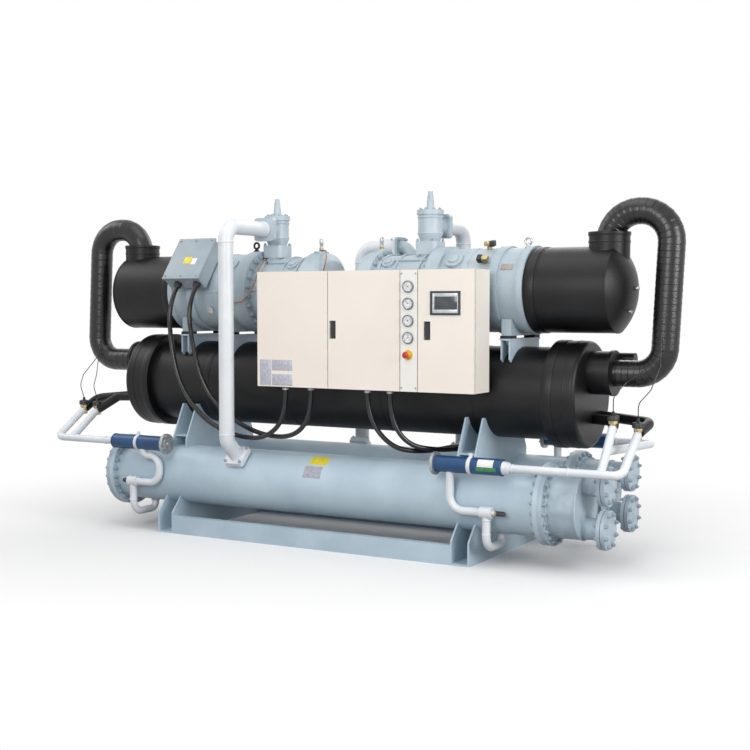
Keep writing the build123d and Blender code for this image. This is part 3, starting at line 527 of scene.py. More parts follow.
def wrapped_tape():
    """A tube along a run of straight lines with bends, its skin in overlapping turns of tape."""
    tree, given = tree_with(
        "tape_wrapped_tube", "Tube",
        Run="Geometry", Radius="Float", Pitch="Float", Lap="Float", Finish="Material",
    )
    line = add(tree, "GeometryNodeMeshToCurve", Mesh=given["Run"])
    bend = add(tree, "GeometryNodeInputNamedAttribute", {"data_type": "FLOAT"}, Name="bend")
    poly, line, bend = {"mode": "POLY"}, line.outputs[0], bend.outputs[0]
    bent = add(tree, "GeometryNodeFilletCurve", poly, Curve=line, Count=24, Radius=bend).outputs[0]
    step = add(tree, "ShaderNodeMath", {"operation": "DIVIDE"}, given["Pitch"], 9.0).outputs[0]
    even = add(tree, "GeometryNodeResampleCurve", {"mode": "LENGTH"}, Curve=bent, Length=step)
    along = tree.nodes.new("GeometryNodeSplineParameter").outputs["Length"]
    turns = add(tree, "ShaderNodeMath", {"operation": "DIVIDE"}, along, given["Pitch"])
    part = add(tree, "ShaderNodeMath", {"operation": "FRACT"}, turns.outputs[0])
    lapped = add(tree, "ShaderNodeMath", {"operation": "MULTIPLY_ADD"}, part.outputs[0], given["Lap"], 1.0)
    section = add(tree, "GeometryNodeCurvePrimitiveCircle", Resolution=40, Radius=given["Radius"])
    skin = add(
        tree, "GeometryNodeCurveToMesh", Curve=even.outputs[0], Profile_Curve=section.outputs[0],
        Scale=lapped.outputs[0], Fill_Caps=True,
    )
    real = add(tree, "GeometryNodeRealizeInstances", Geometry=skin.outputs[0])
    last = add(tree, "GeometryNodeSetMaterial", Geometry=real.outputs[0], Material=given["Finish"])
    add(tree, "NodeGroupOutput", Tube=last.outputs[0])
    return tree


tube_tree = wrapped_tape()


def tube(name, points, bends, radius, pitch, lap, material, kind, **more):
    """A tube along straight lines through points, bent at each inner one; with no lap it is bare."""
    run = bpy.data.meshes.new(name)
    run.from_pydata(points, [(i, i + 1) for i in range(len(points) - 1)], [])
    radii = run.attributes.new("bend", "FLOAT", "POINT")
    radii.data.foreach_set("value", [0.0, *bends, 0.0])
    values = {"Radius": radius, "Pitch": pitch, "Lap": lap, "Finish": material}
    grown(name, run, tube_tree, values, kind, **more)


# Suction pipes: tape wound over the foam in laps, close on the right pipe and wide on the left one
tape = finish("pvc_tape_over_foam", 0.3, ("#0F0F10", "#1C1C1E"), 0.06, 0.012, 0.0012)
SUCTION_R = 0.086
for name, side, pitch, lap in (("left", -1, 0.058, 0.018), ("right", 1, 0.042, 0.024)):
    inner, outer = MIDDLE_X + side * 1.95, MIDDLE_X + side * 2.37
    points = [(inner, 0, 2.15), (inner, 0, 2.292), (outer, 0, 2.292), (outer - 0.052, 0, 1.246)]
    points.append((MIDDLE_X + side * 1.99, 0, 1.246))
    tube(
        f"wrapped_suction_pipe_{name}", points, (0.2, 0.2, 0.18), SUCTION_R, pitch, lap, tape, "insulation",
        replaced=(f"suction_pipe_{name}",), angle=24,
    )


# Compressors
# Grey iron castings, shot blasted and painted with much the same enamel. The sand skin shows through the
# paint as a coarse grain. Flanged joints are bolted, and eye bolts stand on the rings.
casting_enamel = enamel(
    "enamel_on_iron_casting", ("#A1B0B9", "#B2BFC7"), 0.46, 0.01, 0.0014, 0.2, "#878C8E"
)
dress(casting_enamel, "compressor_left", "compressor_right")
valve_enamel = enamel(
    "pale_enamel_on_valve_casting", ("#AFBCC5", "#BDC9D1"), 0.42, 0.008, 0.001, 0.2, "#8F9496"
)
dress(valve_enamel, "discharge_valve_left", "discharge_valve_right")


def on_casing(x, turned_by, reach):
    """A spot on a compressor, so many degrees from the top to the front, its way out and its frame."""
    turned = Matrix.Rotation(radians(turned_by), 3, "X")
    out = turned @ Vector(UP)
    return Vector((x, 0, AXIS_Z)) + out * reach, out, turned


STOP_VALVE, RELIEF_VALVE = 0.645, 0.255
seats, cover_seats = [], []
details = bmesh.new()
for side in (-1, 1):
    seats += around(beside(side, 0.736), (-side, 0, 0), 0.278, 24)
    cover_seats += around(beside(side, 0.2985), (side, 0, 0), 0.268, 20)
    # the rotors' housing has a raised joint face, stiffening ribs, and a rib along the motor's side
    for distance in (0.345, 0.47, 0.66):
        strip(details, beside(side, distance), ALONG, 0.25, 0.016, 0.012)
    strip(details, beside(side, 1.02), ALONG, 0.285, 0.05, 0.004)
    for way in (-1, 1):
        block(details, beside(side, 1.03, way * 0.286, AXIS_Z - 0.002), (0.37, 0.016, 0.014), 0.004)
        block(details, beside(side, 0.52, way * 0.249, AXIS_Z + 0.01), (0.4, 0.022, 0.02), 0.005)
        for angle in (35, 70, 145):
            middle, out, turned = on_casing(MIDDLE_X + side * 0.52, angle * way, 0.254)
            block(details, middle, (0.36, 0.014, 0.022), 0.004, turned)
    # blanked service ports on the side of the motor and of the rotors' housing
    for distance, angle, reach, size in (
        (0.93, 45, 0.285, 0.066), (0.4, 40, 0.25, 0.045), (0.93, -62, 0.285, 0.03),
    ):
        foot, out, turned = on_casing(MIDDLE_X + side * distance, angle, reach - 0.004)
        profile = [(0, 0), (0, size), (0.016, size), (0.018, size - 0.003), (0.018, size * 0.62)]
        profile += [(0.03, size * 0.58), (0.032, size * 0.5), (0.032, 0)]
        turn(details, profile, foot, out, 24)
    # the boss that carries the relief valve
    profile = [(0, 0), (0, 0.06), (0.125, 0.056), (0.132, 0.05), (0.132, 0)]
    turn(details, profile, beside(side, RELIEF_VALVE, 0, 1.95), UP, 32)
form("casting_ribs_and_ports", details, casting_enamel)
fasteners("rotor_housing_bolts", seats, 0.03, 0.6, 3)
fasteners("end_cover_bolts", cover_seats, 0.024, 0.3, 4)


def corners(middle, facing, edge, reach):
    """Seats at the four corners of a square flange."""
    facing, edge = Vector(facing).normalized(), Vector(edge).normalized()
    ways = [edge * reach * i + facing.cross(edge) * reach * j for i in (-1, 1) for j in (-1, 1)]
    return [(Vector(middle) + way, facing) for way in ways]


# Square flanges: four bolts through the corners of each, at the valves' bases, ports and pipe feet
PIPE_FOOT = SHELL_R + 0.058
seats, bonnet, caps = [], [], bmesh.new()
for side in (-1, 1):
    x = MIDDLE_X + side * STOP_VALVE
    seats += corners((x, 0, 2.132), UP, ALONG, 0.0655)
    seats += corners((x, side * 0.138, 2.245), (0, -side, 0), ALONG, 0.066)
    slope = Vector((0, side, 1)).normalized()
    seats += corners(Vector((x, side * 0.345, CONDENSER_Z)) + slope * PIPE_FOOT, slope, ALONG, 0.062)
    # stop valve: bonnet bolts, hexagonal packing nut and stem cap, a rib under the bonnet, and a neck weld
    bonnet += around((x, 0, 2.351), UP, 0.072, 8, 0.0)
    for z, radius, height in ((2.35, 0.034, 0.026), (2.421, 0.023, 0.034)):
        knob(caps, (x, 0, z), UP, radius, height, edge=(0.004, 0.004))
    strip(caps, (x, 0, 2.3), UP, 0.086, 0.012, 0.005)
    strip(caps, (x, 0, 2.188), UP, 0.086, 0.01, 0.004)
slope = Vector((0, 1, 1)).normalized()
seats += corners(Vector((-0.18, 0.345, CONDENSER_Z)) + slope * PIPE_FOOT, slope, ALONG, 0.062)
for x, way in ((0.127, -1), (0.167, 1)):
    seats += corners((x, 0.533, 2.125), (way, 0, 0), (0, 1, 0), 0.058)
fasteners("square_flange_bolts", seats, 0.02, 1.0, 5)
fasteners("valve_bonnet_bolts", bonnet, 0.017, 0.6, 6)
form("stop_valve_caps", caps, valve_enamel)

# Eye bolts: forged steel, one blackened and two zinc plated
black_oxide = finish("blackened_forged_steel", 0.5, ("#1C1D1F", "#2E2F31"), 0.02, 0.004, 0.0005, metal=0.6)
zinc = finish("zinc_plated_steel", 0.35, ("#A4A8A6", "#C0C3C2"), 0.015, 0.003, 0.0003, metal=0.9)
for name, x, z, material, kind in (
    ("left", -0.795, 2.09, black_oxide, "black_plastic"), ("left_outer", -1.4, 2.083, zinc, "galvanised"),
    ("right", 1.425, 2.071, zinc, "galvanised"),
):
    eye = bmesh.new()
    shank = [(0, 0), (0, 0.024), (0.008, 0.024), (0.012, 0.014), (0.026, 0.011), (0.028, 0)]
    turn(eye, shank, (x, 0, z), UP, 24)
    loop = [2 * pi * i / 12 for i in range(13)]
    ring = [(0.008 * sin(a), 0.022 + 0.008 * cos(a)) for a in loop]
    turn(eye, ring, (x, 0, z + 0.046), (0, 1, 0), 28)
    form(f"eye_bolt_{name}", eye, material, angle=50)

# Relief valves on the end covers, two solenoid valves on the right motor with brass bodies and black
# coils, and two black plugs on the left motor
brass = finish("turned_and_forged_brass", 0.36, ("#8F8160", "#BFAF88"), 0.02, 0.002, 0.0003, metal=1.0)
dress(brass, "expansion_valves")
nylon = finish("glass_filled_nylon", 0.5, ("#1C1D1F", "#2A2B2E"), 0.01, 0.001, 0.0001)
dress(nylon, "door_middle_lever", "door_right_lever")
brass_fittings, coils, relief = bmesh.new(), bmesh.new(), bmesh.new()
for side in (-1, 1):
    profile = [(0, 0), (0, 0.017), (0.026, 0.017), (0.028, 0.012), (0.036, 0)]
    turn(brass_fittings, profile, beside(side, RELIEF_VALVE, 0, 2.078), UP, 6)
    profile = [(0, 0), (0, 0.012), (0.03, 0.012), (0.034, 0.014), (0.066, 0.014), (0.07, 0.01), (0.07, 0)]
    turn(relief, profile, beside(side, RELIEF_VALVE, 0, 2.104), UP, 24)
form("relief_valve_bonnets", relief, zinc, angle=50)
for x, angle, way in ((1.172, 13, 1), (1.205, 50, -1)):
    foot, out, turned = on_casing(x, angle, 0.28)
    profile = [(0, 0), (0, 0.02), (0.024, 0.02), (0.026, 0.012), (0.062, 0.01), (0.064, 0)]
    turn(brass_fittings, profile, foot, out, 6)
    middle = foot + out * 0.044
    block(brass_fittings, middle - Vector((0.014 * way, 0, 0)), (0.042, 0.04, 0.03), 0.004, turned)
    block(coils, middle + Vector((0.024 * way, 0, 0)), (0.034, 0.046, 0.04), 0.005, turned)
for angle in (38, 48):
    foot, out, turned = on_casing(-1.05, angle, 0.282)
    knob(coils, foot, out, 0.013, 0.016, 20, edge=(0.002, 0.002))
form("brass_service_fittings", brass_fittings, brass)
form("solenoid_coils", coils, nylon)

# Bare plate stuck on the right motor
middle, out, turned = on_casing(1.375, 58, 0.2868)
bare_plates = bmesh.new()
block(bare_plates, middle, (0.085, 0.045, 0.0016), 0.0004, turned)
tarnished = finish(
    "tarnished_aluminium_plate", 0.55, ("#8F8582", "#A9A09D"), 0.01, 0.002, 0.0002, metal=0.4
)
form("bare_maker_plate", bare_plates, tarnished)

# Sight glass and oil drain plugs low on each motor, and the small plugs on the right cap's dome
plugs = bmesh.new()
for side in (-1, 1):
    foot, out, turned = on_casing(MIDDLE_X + side * 1.08, 118, 0.281)
    turn(plugs, [(0, 0), (0, 0.03), (0.014, 0.03), (0.014, 0.02), (0.01, 0.018), (0.01, 0)], foot, out, 24)
profile = [(0, 0), (0, 0.01), (0.012, 0.01), (0.012, 0.014), (0.028, 0.014), (0.03, 0)]
turn(plugs, profile, (2.164, 0, 1.796), ALONG, 12)
profile = [(0, 0), (0, 0.008), (0.012, 0.008), (0.012, 0.011), (0.024, 0.011), (0.026, 0)]
turn(plugs, profile, (2.138, -0.05, 1.651), (1, -0.05, -0.25), 12)
form("sight_glasses_and_plugs", plugs, zinc)

# Copper lines, 10 mm, on the left compressor: one from the relief valve over the end cover, and one that
# comes up round the joint face
copper = finish("drawn_copper_tube", 0.4, ("#7E5F50", "#A9846C"), 0.04, 0.003, 0.0002, metal=1.0)
COPPER_R = 0.005
COPPER_RUNS = {
    "left_cover": [
        (-0.215, -0.015, 2.09), (-0.13, -0.07, 2.082), (-0.085, -0.14, 2.03), (-0.08, -0.19, 1.93),
        (-0.118, -0.196, 1.88),
    ],
    "left_ring": [
        (-0.87, -0.262, 1.7), (-0.8, -0.318, 1.705), (-0.7, -0.328, 1.712), (-0.616, -0.332, 1.783),
        (-0.589, -0.323, 1.856), (-0.571, -0.283, 1.959), (-0.577, -0.217, 2.036), (-0.59, -0.14, 1.99),
    ],
}
for name, points in COPPER_RUNS.items():
    bends = [0.04] * (len(points) - 2)
    tube(f"copper_line_{name}", points, bends, COPPER_R, 0.06, 0.0, copper, "brass", angle=60)

# Feet: nuts on the studs through the rubber pads
seats = [
    (beside(side, distance, y, 1.4555), (0, 0, -1))
    for side in (-1, 1) for distance in (0.93, 1.33) for y in (-0.2, 0.2)
]
fasteners("foot_nuts", seats, 0.03, 1.0, 7, zinc, "galvanised")


# Terminal boxes
# Folded steel boxes with a screwed lid, sprayed in a slightly darker grey than the castings, with black
# nylon gland nuts where the hoses go in. The left lid carries a yellow and a white bare label.
box_enamel = enamel(
    "grey_enamel_on_folded_sheet", ("#98A4AC", "#A4B0B7"), 0.42, 0.004, 0.0002, 0.2, "#85898B"
)
dress(box_enamel, "terminal_box_left", "terminal_box_right")
paper = finish("coated_paper_label", 0.5, ("#E2E2DE", "#EDEDEA"), 0.03, 0.002, 0.0001)
yellow_vinyl = finish("yellow_vinyl_sticker", 0.4, ("#DAC72C", "#E9DA40"), 0.04, 0.002, 0.0001)
lids, box_glands = bmesh.new(), bmesh.new()
lid_seats = []
BOX_W, BOX_H, BOX_LID = 0.33, 0.37, 0.425
for side, tilt in ((-1, radians(36)), (1, radians(10))):
    out = Vector((0, side * cos(tilt), sin(tilt)))
    down = Vector((0, side * sin(tilt), -cos(tilt)))
    sideways = down.cross(out)
    turned = Matrix((sideways, down, out)).transposed()
    middle = beside(side, 1.215)
    block(lids, middle + out * (BOX_LID - 0.008), (BOX_W + 0.008, BOX_H + 0.008, 0.02), 0.003, turned)
    top = middle + out * (BOX_LID + 0.002)
    lid_seats += [(top + sideways * 0.145 * i + down * 0.165 * j, out) for i in (-1, 0, 1) for j in (-1, 1)]
    for distance in (0.052, -0.124):
        foot = middle + out * (BOX_LID - 0.0625) + down * (BOX_H / 2) + Vector((side * distance, 0, 0))
        knob(box_glands, foot, down, 0.031, 0.012)
        profile = [(0, 0), (0, 0.0285), (0.016, 0.0285), (0.02, 0.024), (0.0295, 0.02), (0.0295, 0)]
        turn(box_glands, profile, foot + down * 0.012, down, 20)
    if side > 0:
        continue
    face = middle + out * (BOX_LID + 0.0023)
    for name, spot, size, material, kind in (
        ("yellow", face + down * 0.02, (0.066, 0.062, 0.0012), yellow_vinyl, "yellow_plastic"),
        ("white", face + down * 0.03 - sideways * 0.062, (0.044, 0.06, 0.0012), paper, "cabinet_white"),
    ):
        label = bmesh.new()
        block(label, spot, size, 0.0003, turned)
        form(f"terminal_box_label_{name}", label, material)
form("terminal_box_lids", lids, box_enamel)
form("terminal_box_gland_nuts", box_glands, nylon)
fasteners("terminal_lid_screws", lid_seats, 0.013, 0.0, 8, zinc, "galvanised")


# Gas, liquid and header pipes
# Drawn steel and copper tube, brazed, then sprayed with gloss white paint. Slightly cool white, with
# rings of filler metal at the joints and a rubbed edge here and there.
gloss_white = enamel(
    "gloss_white_on_drawn_tube", ("#D9DEE3", "#E3E7EB"), 0.32, 0.01, 0.0003, 0.3, "#A9ADB0"
)
dress(
    gloss_white, "discharge_pipe_left", "discharge_pipe_right", "rear_gas_pipe", "liquid_header_left",
    "liquid_header_right", "liquid_line_left", "liquid_line_right", "liquid_line_rear",
)
joints = bmesh.new()
GAS_R, LIQUID_R = 0.054, 0.027
for x, y, top in ((-0.605, -0.65, 2.245), (0.685, 0.533, 2.245), (-0.18, 0.533, 2.125)):
    bead(joints, (x, y, top - 0.112), UP, GAS_R, 0.006, 40)
    bead(joints, (x, y, CONDENSER_Z + abs(y) - 0.345 + 0.045), UP, GAS_R, 0.006, 40)
    if x != -0.18:
        bead(joints, (x, copysign(0.19, y), 2.245), (0, 1, 0), GAS_R, 0.007, 40)
for x, y in ((-1.515, -0.6), (1.4, -0.6), (1.59, 0.6)):
    bead(joints, (x, y, 0.225), UP, LIQUID_R, 0.005, 32)
    bead(joints, (x, y, 0.318), UP, LIQUID_R, 0.005, 32)
    bead(joints, (x, copysign(0.345, y), 0.19), UP, LIQUID_R, 0.008, 32)
for x, y, z in (
    (-1.78, -0.6, 0.66), (1.58, -0.6, 0.66), (1.95, -0.6, 0.66), (1.85, 0.6, 0.732), (1.99, 0.6, 0.732),
):
    bead(joints, (x, y, z), ALONG, LIQUID_R, 0.005, 32)
reducer = [(-0.005, 0), (-0.005, 0.043), (0.012, 0.043), (0.046, 0.03), (0.046, 0)]
for place in ((1.515, -0.6, 0.66), (1.79, 0.6, 0.732)):
    turn(joints, reducer, place, ALONG, 32)
form("brazed_rings", joints, gloss_white, angle=60)

# Stop valves of the liquid lines: black stem covers, and brass packing nuts
stem_covers, packing = bmesh.new(), bmesh.new()
for x, y, end, axis in (
    (-1.515, -0.6, -1.612, (-1, 0, 0)), (1.4, -0.6, 1.53, (1, 0, 0)), (1.59, 0.6, 0.491, (0, 0, 1)),
):
    axis = Vector(axis)
    tip = Vector((end, y, 0.366)) if axis.x else Vector((x, y, end))
    foot = tip - axis * 0.056
    profile = [(0, 0), (0, 0.0165), (0.046, 0.0165), (0.056, 0.013), (0.0575, 0.009), (0.0575, 0)]
    turn(stem_covers, profile, foot, axis, 16)
    turn(packing, [(-0.012, 0), (-0.012, 0.02), (-0.001, 0.02), (0.0, 0.017), (0.0, 0)], foot, axis, 6)
form("stem_covers", stem_covers, nylon)
form("packing_nuts", packing, brass)


# Filter driers
# Spun steel shells, powder coated deep blue, each closed by a bare cast cover with eight screws and an
# access plug, with a rolled rim at the other end and a white strap that is screwed together on top.
drier_blue = enamel(
    "blue_powder_coat_on_spun_steel", ("#103D68", "#174A7A"), 0.36, 0.003, 0.0003, 0.12, "#5C6E8C"
)
dress(drier_blue, "filter_drier_left", "filter_drier_right", "filter_drier_rear")
covers, straps, end_rims = bmesh.new(), bmesh.new(), bmesh.new()
cover_seats, strap_seats = [], []
DRIER_R = 0.054
for cover, end, y, z in (
    (-1.195, -1.69, -0.6, 0.662), (1.035, 1.515, -0.6, 0.662), (1.31, 1.79, 0.6, 0.732),
):
    out = 1 if end < cover else -1
    way = copysign(1, y)
    face = (cover + out * 0.0105, y, z)
    profile = [(-0.021, 0.05), (-0.021, 0.0755), (-0.002, 0.0755), (0, 0.0735), (0, 0.046), (0.003, 0.042)]
    profile += [(0.003, 0.02), (0.016, 0.018), (0.018, 0.014), (0.018, 0)]
    turn(covers, profile + [(-0.021, 0), (-0.021, 0.05)], face, (out, 0, 0), 48)
    cover_seats += around(face, (out, 0, 0), 0.063, 8)
    x = cover + (end - cover) * 0.53
    strip(straps, (x, y, z), ALONG, DRIER_R, 0.026, 0.003)
    block(straps, (x, y + way * 0.004, z + DRIER_R + 0.012), (0.026, 0.01, 0.028), 0.002)
    strap_seats.append(((x, y - way * 0.0015, z + DRIER_R + 0.015), (0, -way, 0)))
    strip(end_rims, (end + out * 0.007, y, z), ALONG, DRIER_R, 0.01, 0.002)
cast_cover = finish("sand_cast_aluminium", 0.5, ("#94989A", "#B2B5B6"), 0.02, 0.003, 0.0006, metal=0.8)
form("drier_covers", covers, cast_cover)
form("drier_straps", straps, gloss_white)
form("drier_end_rims", end_rims, drier_blue)
fasteners("drier_cover_screws", cover_seats, 0.013, 0.2, 9, zinc, "galvanised")
fasteners("strap_screws", strap_seats, 0.011, 0.5, 10, zinc, "galvanised")

# Bare labels on the right drier: white paper wrapped round the shell, with a green strip under it
green_paper = finish("green_paper_label", 0.5, ("#397F45", "#469354"), 0.03, 0.002, 0.0001)


def wrapped_label(name, axis_at, radius, x_span, angles, material):
    """A patch lying on a shell that runs along X, between two angles from the top to the front."""
    shape = bmesh.new()
    steps = 14
    grid = []
    for i in range(steps + 1):
        angle = radians(angles[0] + (angles[1] - angles[0]) * i / steps)
        for lift in (0.0, 0.0006):
            y = axis_at[0] - sin(angle) * (radius + lift)
            z = axis_at[1] + cos(angle) * (radius + lift)
            grid.append([shape.verts.new((x, y, z)) for x in x_span])
    for i in range(0, 2 * steps, 2):
        low, high, low_next, high_next = grid[i : i + 4]
        shape.faces.new((high[0], high[1], high_next[1], high_next[0]))
        shape.faces.new((low[0], low_next[0], low_next[1], low[1]))
        for k in (0, 1):
            shape.faces.new((low[k], high[k], high_next[k], low_next[k]))
    for low, high in (grid[:2], grid[-2:]):
        shape.faces.new((low[0], low[1], high[1], high[0]))
    form(name, shape, material)


drier_axis = (-0.6, 0.662)
wrapped_label("drier_label_white", drier_axis, DRIER_R, (1.355, 1.465), (30, 88), paper)
wrapped_label("drier_label_green", drier_axis, DRIER_R, (1.345, 1.485), (90, 118), green_paper)

# Bare vinyl stickers on the condensers: a yellow one on each, and a grey one below the front yellow one
grey_vinyl = finish("grey_vinyl_sticker", 0.45, ("#9C9FAC", "#B4B6C2"), 0.02, 0.002, 0.0001)
for name, y, x_span, angles, material, kind in (
    ("front_sticker_yellow", -0.345, (-0.012, 0.128), (20, 43), yellow_vinyl, "yellow_plastic"),
    ("front_sticker_grey", -0.345, (-0.03, 0.112), (47, 71), grey_vinyl, "gauge_steel"),
    ("rear_sticker_yellow", 0.345, (0.61, 0.735), (-6, 14), yellow_vinyl, "yellow_plastic"),
):
    wrapped_label(name, (y, CONDENSER_Z), SHELL_R, x_span, angles, material)


# Expansion valves
# Forged brass bodies with a black diaphragm head on each, and a capillary in a black sleeve that runs up
# to the suction pipe.
heads, nuts = bmesh.new(), bmesh.new()
VALVES = {
    "left_far": (-2.25, -0.33, 0.86), "left_near": (-2.13, -0.31, 0.855), "right_far": (2.275, -0.25, 0.886),
    "right_near": (2.13, -0.3, 0.93),
}
for name, (x, y, z) in VALVES.items():
    side = copysign(1, x)
    profile = [(0, 0), (0, 0.0365), (0.002, 0.038), (0.027, 0.038), (0.031, 0.0355), (0.034, 0.026)]
    turn(heads, profile + [(0.038, 0.012), (0.04, 0)], (x, y, z + 0.0365), UP, 32)
    knob(heads, (x, y, z + 0.072), UP, 0.01, 0.022, 12)
    knob(nuts, (x, y, z + 0.016), UP, 0.031, 0.02)
    knob(nuts, (x, y, z - 0.032), UP, 0.029, 0.018)
    pipe_x = MIDDLE_X + side * 2.33
    points = [
        (x, y, z + 0.09), (x + side * 0.01, y - 0.03, z + 0.19), (x + side * 0.06, y + 0.06, z + 0.27),
        (pipe_x, -0.11, z + 0.42), (pipe_x, -0.0905, z + 0.56),
    ]
    tube(f"capillary_{name}", points, (0.05,) * 3, 0.0032, 0.05, 0.0, conduit_pvc, "conduit", angle=60)
form("valve_heads", heads, nylon)
form("valve_union_nuts", nuts, brass)


# Control cabinet
# Folded sheet steel, 2 mm, powder coated in a warm cream with a fine texture; the gauge strip is white.
# Behind the doors there is a bare galvanised plate, and black cover frames line the lock cups.
cream_coat = enamel(
    "cream_powder_coat_on_sheet", ("#F4EBE1", "#F7EFE6"), 0.45, 0.002, 0.00015, 0.5, "#B9B2A4"
)
dress(cream_coat, "cabinet_body", "door_left", "door_middle", "door_right")
white_coat = enamel(
    "white_powder_coat_on_sheet", ("#F3F0EA", "#F6F3EE"), 0.45, 0.002, 0.00015, 0.5, "#B4B4B2"
)
dress(white_coat, "gauge_panel")
galvanised, tree, shader, where = finish_of("hot_dip_galvanised_sheet", "#A8ABAC", 0.45, 0.9)
spangle = add(tree, "ShaderNodeTexVoronoi", Vector=where, Scale=1 / 0.012)
tone = add(tree, "ShaderNodeMapRange", Value=spangle.outputs["Color"], To_Min=0.36, To_Max=0.58)
tree.links.new(tone.outputs["Result"], shader.inputs["Roughness"])
mottle(tree, shader, where, ("#9B9FA1", "#B2B5B6"), 0.02)
dress(galvanised, "mounting_plate", "cabinet_glands")

FRONT = -0.6


def bars(shape, middle, places, depth):
    """The four flat bars of a frame on the cabinet's front, each at (x, z) with its width and height."""
    for x, z, width, height in places:
        block(shape, (middle[0] + x, middle[1], middle[2] + z), (width, depth, height), 0.0006)


SURROUND = (
    (-0.0215, 0, 0.003, 0.121), (0.0215, 0, 0.003, 0.121), (0, -0.059, 0.046, 0.003),
    (0, 0.059, 0.046, 0.003),
)
LOCK_Z = 1.522
for name, x in (("middle", 0.251), ("right", 0.971)):
    surround = bmesh.new()
    bars(surround, (x, FRONT - 0.0006, LOCK_Z), SURROUND, 0.0026)
    block(surround, (x, -0.5823, LOCK_Z), (0.0395, 0.0006, 0.1145))
    form(f"lock_surround_{name}", surround, nylon, body=f"door_{name}")

# Three bare silver foil labels stuck low on the left door
foil = finish("silver_foil_label", 0.4, ("#ADADBA", "#C3C3CC"), 0.02, 0.002, 0.0001, metal=0.35)
foils = bmesh.new()
for x0, x1, z0, z1 in (
    (-0.35, -0.254, 1.128, 1.308), (-0.248, -0.078, 1.233, 1.308), (-0.248, -0.078, 1.128, 1.208),
):
    block(foils, ((x0 + x1) / 2, FRONT - 0.0004, (z0 + z1) / 2), (x1 - x0, 0.0014, z1 - z0), 0.0003)
form("door_labels", foils, foil, body="door_left")

# Hexagonal lock nuts of the hose glands under the floor, and screws that hold the gauge strip
gland_nuts = bmesh.new()
for length, route in CONDUITS.values():
    knob(gland_nuts, (route[-1][0], route[-1][1], 1.1195), (0, 0, -1), 0.03, 0.01)
form("cabinet_gland_nuts", gland_nuts, nylon)
strip_seats = [((x, FRONT, z), FORWARD) for x in (0.783, 0.888) for z in (1.145, 1.895)]
fasteners("strip_screws", strip_seats, 0.009, 0.0, 11, zinc, "galvanised")
bracket_seats = [
    ((x + way * 0.005, -0.335, z), (way, 0, 0)) for x in (-0.25, 1.05) for way in (-1, 1) for z in (1.17, 1.4)
]
fasteners("bracket_bolts", bracket_seats, 0.019, 0.5, 12, zinc, "galvanised")


# Display
# A touch panel: dark moulded frame, pale inner bezel and a matt glass screen that is switched off.
frame_plastic = finish("moulded_display_frame", 0.4, ("#292C30", "#373A40"), 0.02, 0.001, 0.0001)
dress(frame_plastic, "display")
bezel_plastic = finish("brushed_bezel_foil", 0.35, ("#B9BDC1", "#CFD2D5"), 0.02, 0.001, 0.0001, metal=0.3)
screen_glass = finish("etched_screen_glass", 0.18, ("#34393E", "#454A50"), 0.06, 0.0008, 0.00004, coat=0.4)
SCREEN = (1.103, 1.7015)
BEZEL = (
    (-0.083, 0, 0.014, 0.128), (0.091, 0, 0.006, 0.128), (0.006, 0.053, 0.164, 0.022),
    (0.006, -0.053, 0.164, 0.022),
)
bezel = bmesh.new()
bars(bezel, (SCREEN[0], -0.6078, SCREEN[1]), BEZEL, 0.0022)
form("display_bezel", bezel, bezel_plastic, body="door_right")
screen = bmesh.new()
block(screen, (SCREEN[0] + 0.006, -0.6074, SCREEN[1]), (0.165, 0.001, 0.085), 0.0002)
form("display_screen", screen, screen_glass, body="door_right")


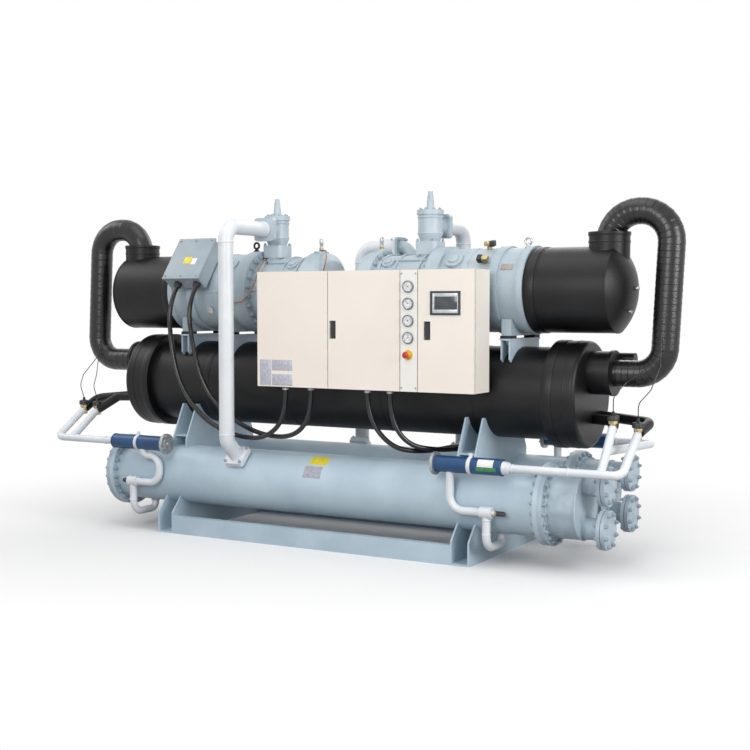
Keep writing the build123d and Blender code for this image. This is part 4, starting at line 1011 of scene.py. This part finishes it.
# Pressure gauges
# Pressed steel cases with a rolled rim, a white enamelled dial with plain ticks, a black pointer and a
# flat glass.
gauge_steel = finish(
    "pressed_steel_gauge_case", 0.34, ("#676C70", "#7F8488"), 0.01, 0.002, 0.0001, metal=0.9
)
dress(gauge_steel, "pressure_gauges")
dial_enamel = finish("white_dial_enamel", 0.4, ("#D8D9D7", "#E5E6E4"), 0.01, 0.001, 0.00005)
ink = finish("printed_black_ink", 0.5, ("#18181A", "#28282A"), 0.005, 0.001, 0.00003)
rims, dials, marks = bmesh.new(), bmesh.new(), bmesh.new()
GAUGES = [(0.833, -0.612, z) for z in (1.81, 1.698, 1.586, 1.474)]
RIM = [
    (-0.004, 0.0375), (-0.004, 0.0392), (0.002, 0.0395), (0.0042, 0.0375), (0.0035, 0.0335),
    (-0.001, 0.0315),
]
for number, front in enumerate(GAUGES):
    turn(rims, RIM + RIM[:1], front, FORWARD, 48)
    turn(dials, [(-0.001, 0), (-0.001, 0.034), (0.0006, 0.034), (0.0006, 0)], front, FORWARD, 48)
    for i in range(31):
        length, wide = (0.0055, 0.0011) if i % 5 == 0 else (0.003, 0.0006)
        spin = Matrix.Rotation(radians(-135 + 9 * i), 3, "Y")
        middle = Vector(front) + spin @ Vector((0, -0.0008, 0.029 - length / 2))
        block(marks, middle, (wide, 0.0004, length), 0, spin)
    spin = Matrix.Rotation(radians(-60 + 23 * number), 3, "Y")
    block(marks, Vector(front) + spin @ Vector((0, -0.0016, 0.009)), (0.0014, 0.0005, 0.032), 0, spin)
    turn(marks, [(0.0008, 0), (0.0008, 0.0035), (0.0026, 0.003), (0.0028, 0)], front, FORWARD, 16)
form("gauge_rims", rims, gauge_steel)
form("gauge_dials", dials, dial_enamel)
form("gauge_marks", marks, ink)
glass, tree, shader, where = finish_of("gauge_window_glass", "#F4F6F6", 0.05, ior=1.45)
shader.inputs["Transmission Weight"].default_value = 1.0
shader.inputs["Alpha"].default_value = 0.25
panes = bmesh.new()
for front in GAUGES:
    turn(panes, [(0.003, 0), (0.003, 0.0345), (0.0034, 0.0345), (0.0034, 0)], front, FORWARD, 32)
form("gauge_glasses", panes, glass)


# Emergency stop
# Red mushroom head with a domed face and a grip ring on a round yellow plate, both moulded ABS.
red_abs = finish("moulded_red_abs", 0.32, ("#B12427", "#C93331"), 0.01, 0.001, 0.0001)
dress(red_abs, "emergency_stop_button")
yellow_abs = finish("moulded_yellow_abs", 0.4, ("#DBA81B", "#EABD2E"), 0.01, 0.001, 0.0001)
dress(yellow_abs, "emergency_stop_base")
STOP = (0.833, -0.648, 1.362)
cap = bmesh.new()
profile = [(-0.014, 0), (-0.014, 0.016), (-0.014, 0.0202), (-0.01, 0.0216), (-0.002, 0.0216)]
profile += [(0.0015, 0.0195), (0.0035, 0.015), (0.0048, 0.008), (0.0052, 0)]
turn(cap, profile, STOP, FORWARD, 48)
for i in range(16):
    spin = Matrix.Rotation(radians(22.5 * i), 3, "Y")
    block(cap, Vector(STOP) + spin @ Vector((0, 0.006, 0.0214)), (0.0022, 0.01, 0.0016), 0.0004, spin)
form("stop_button_cap", cap, red_abs, body="emergency_stop_button")
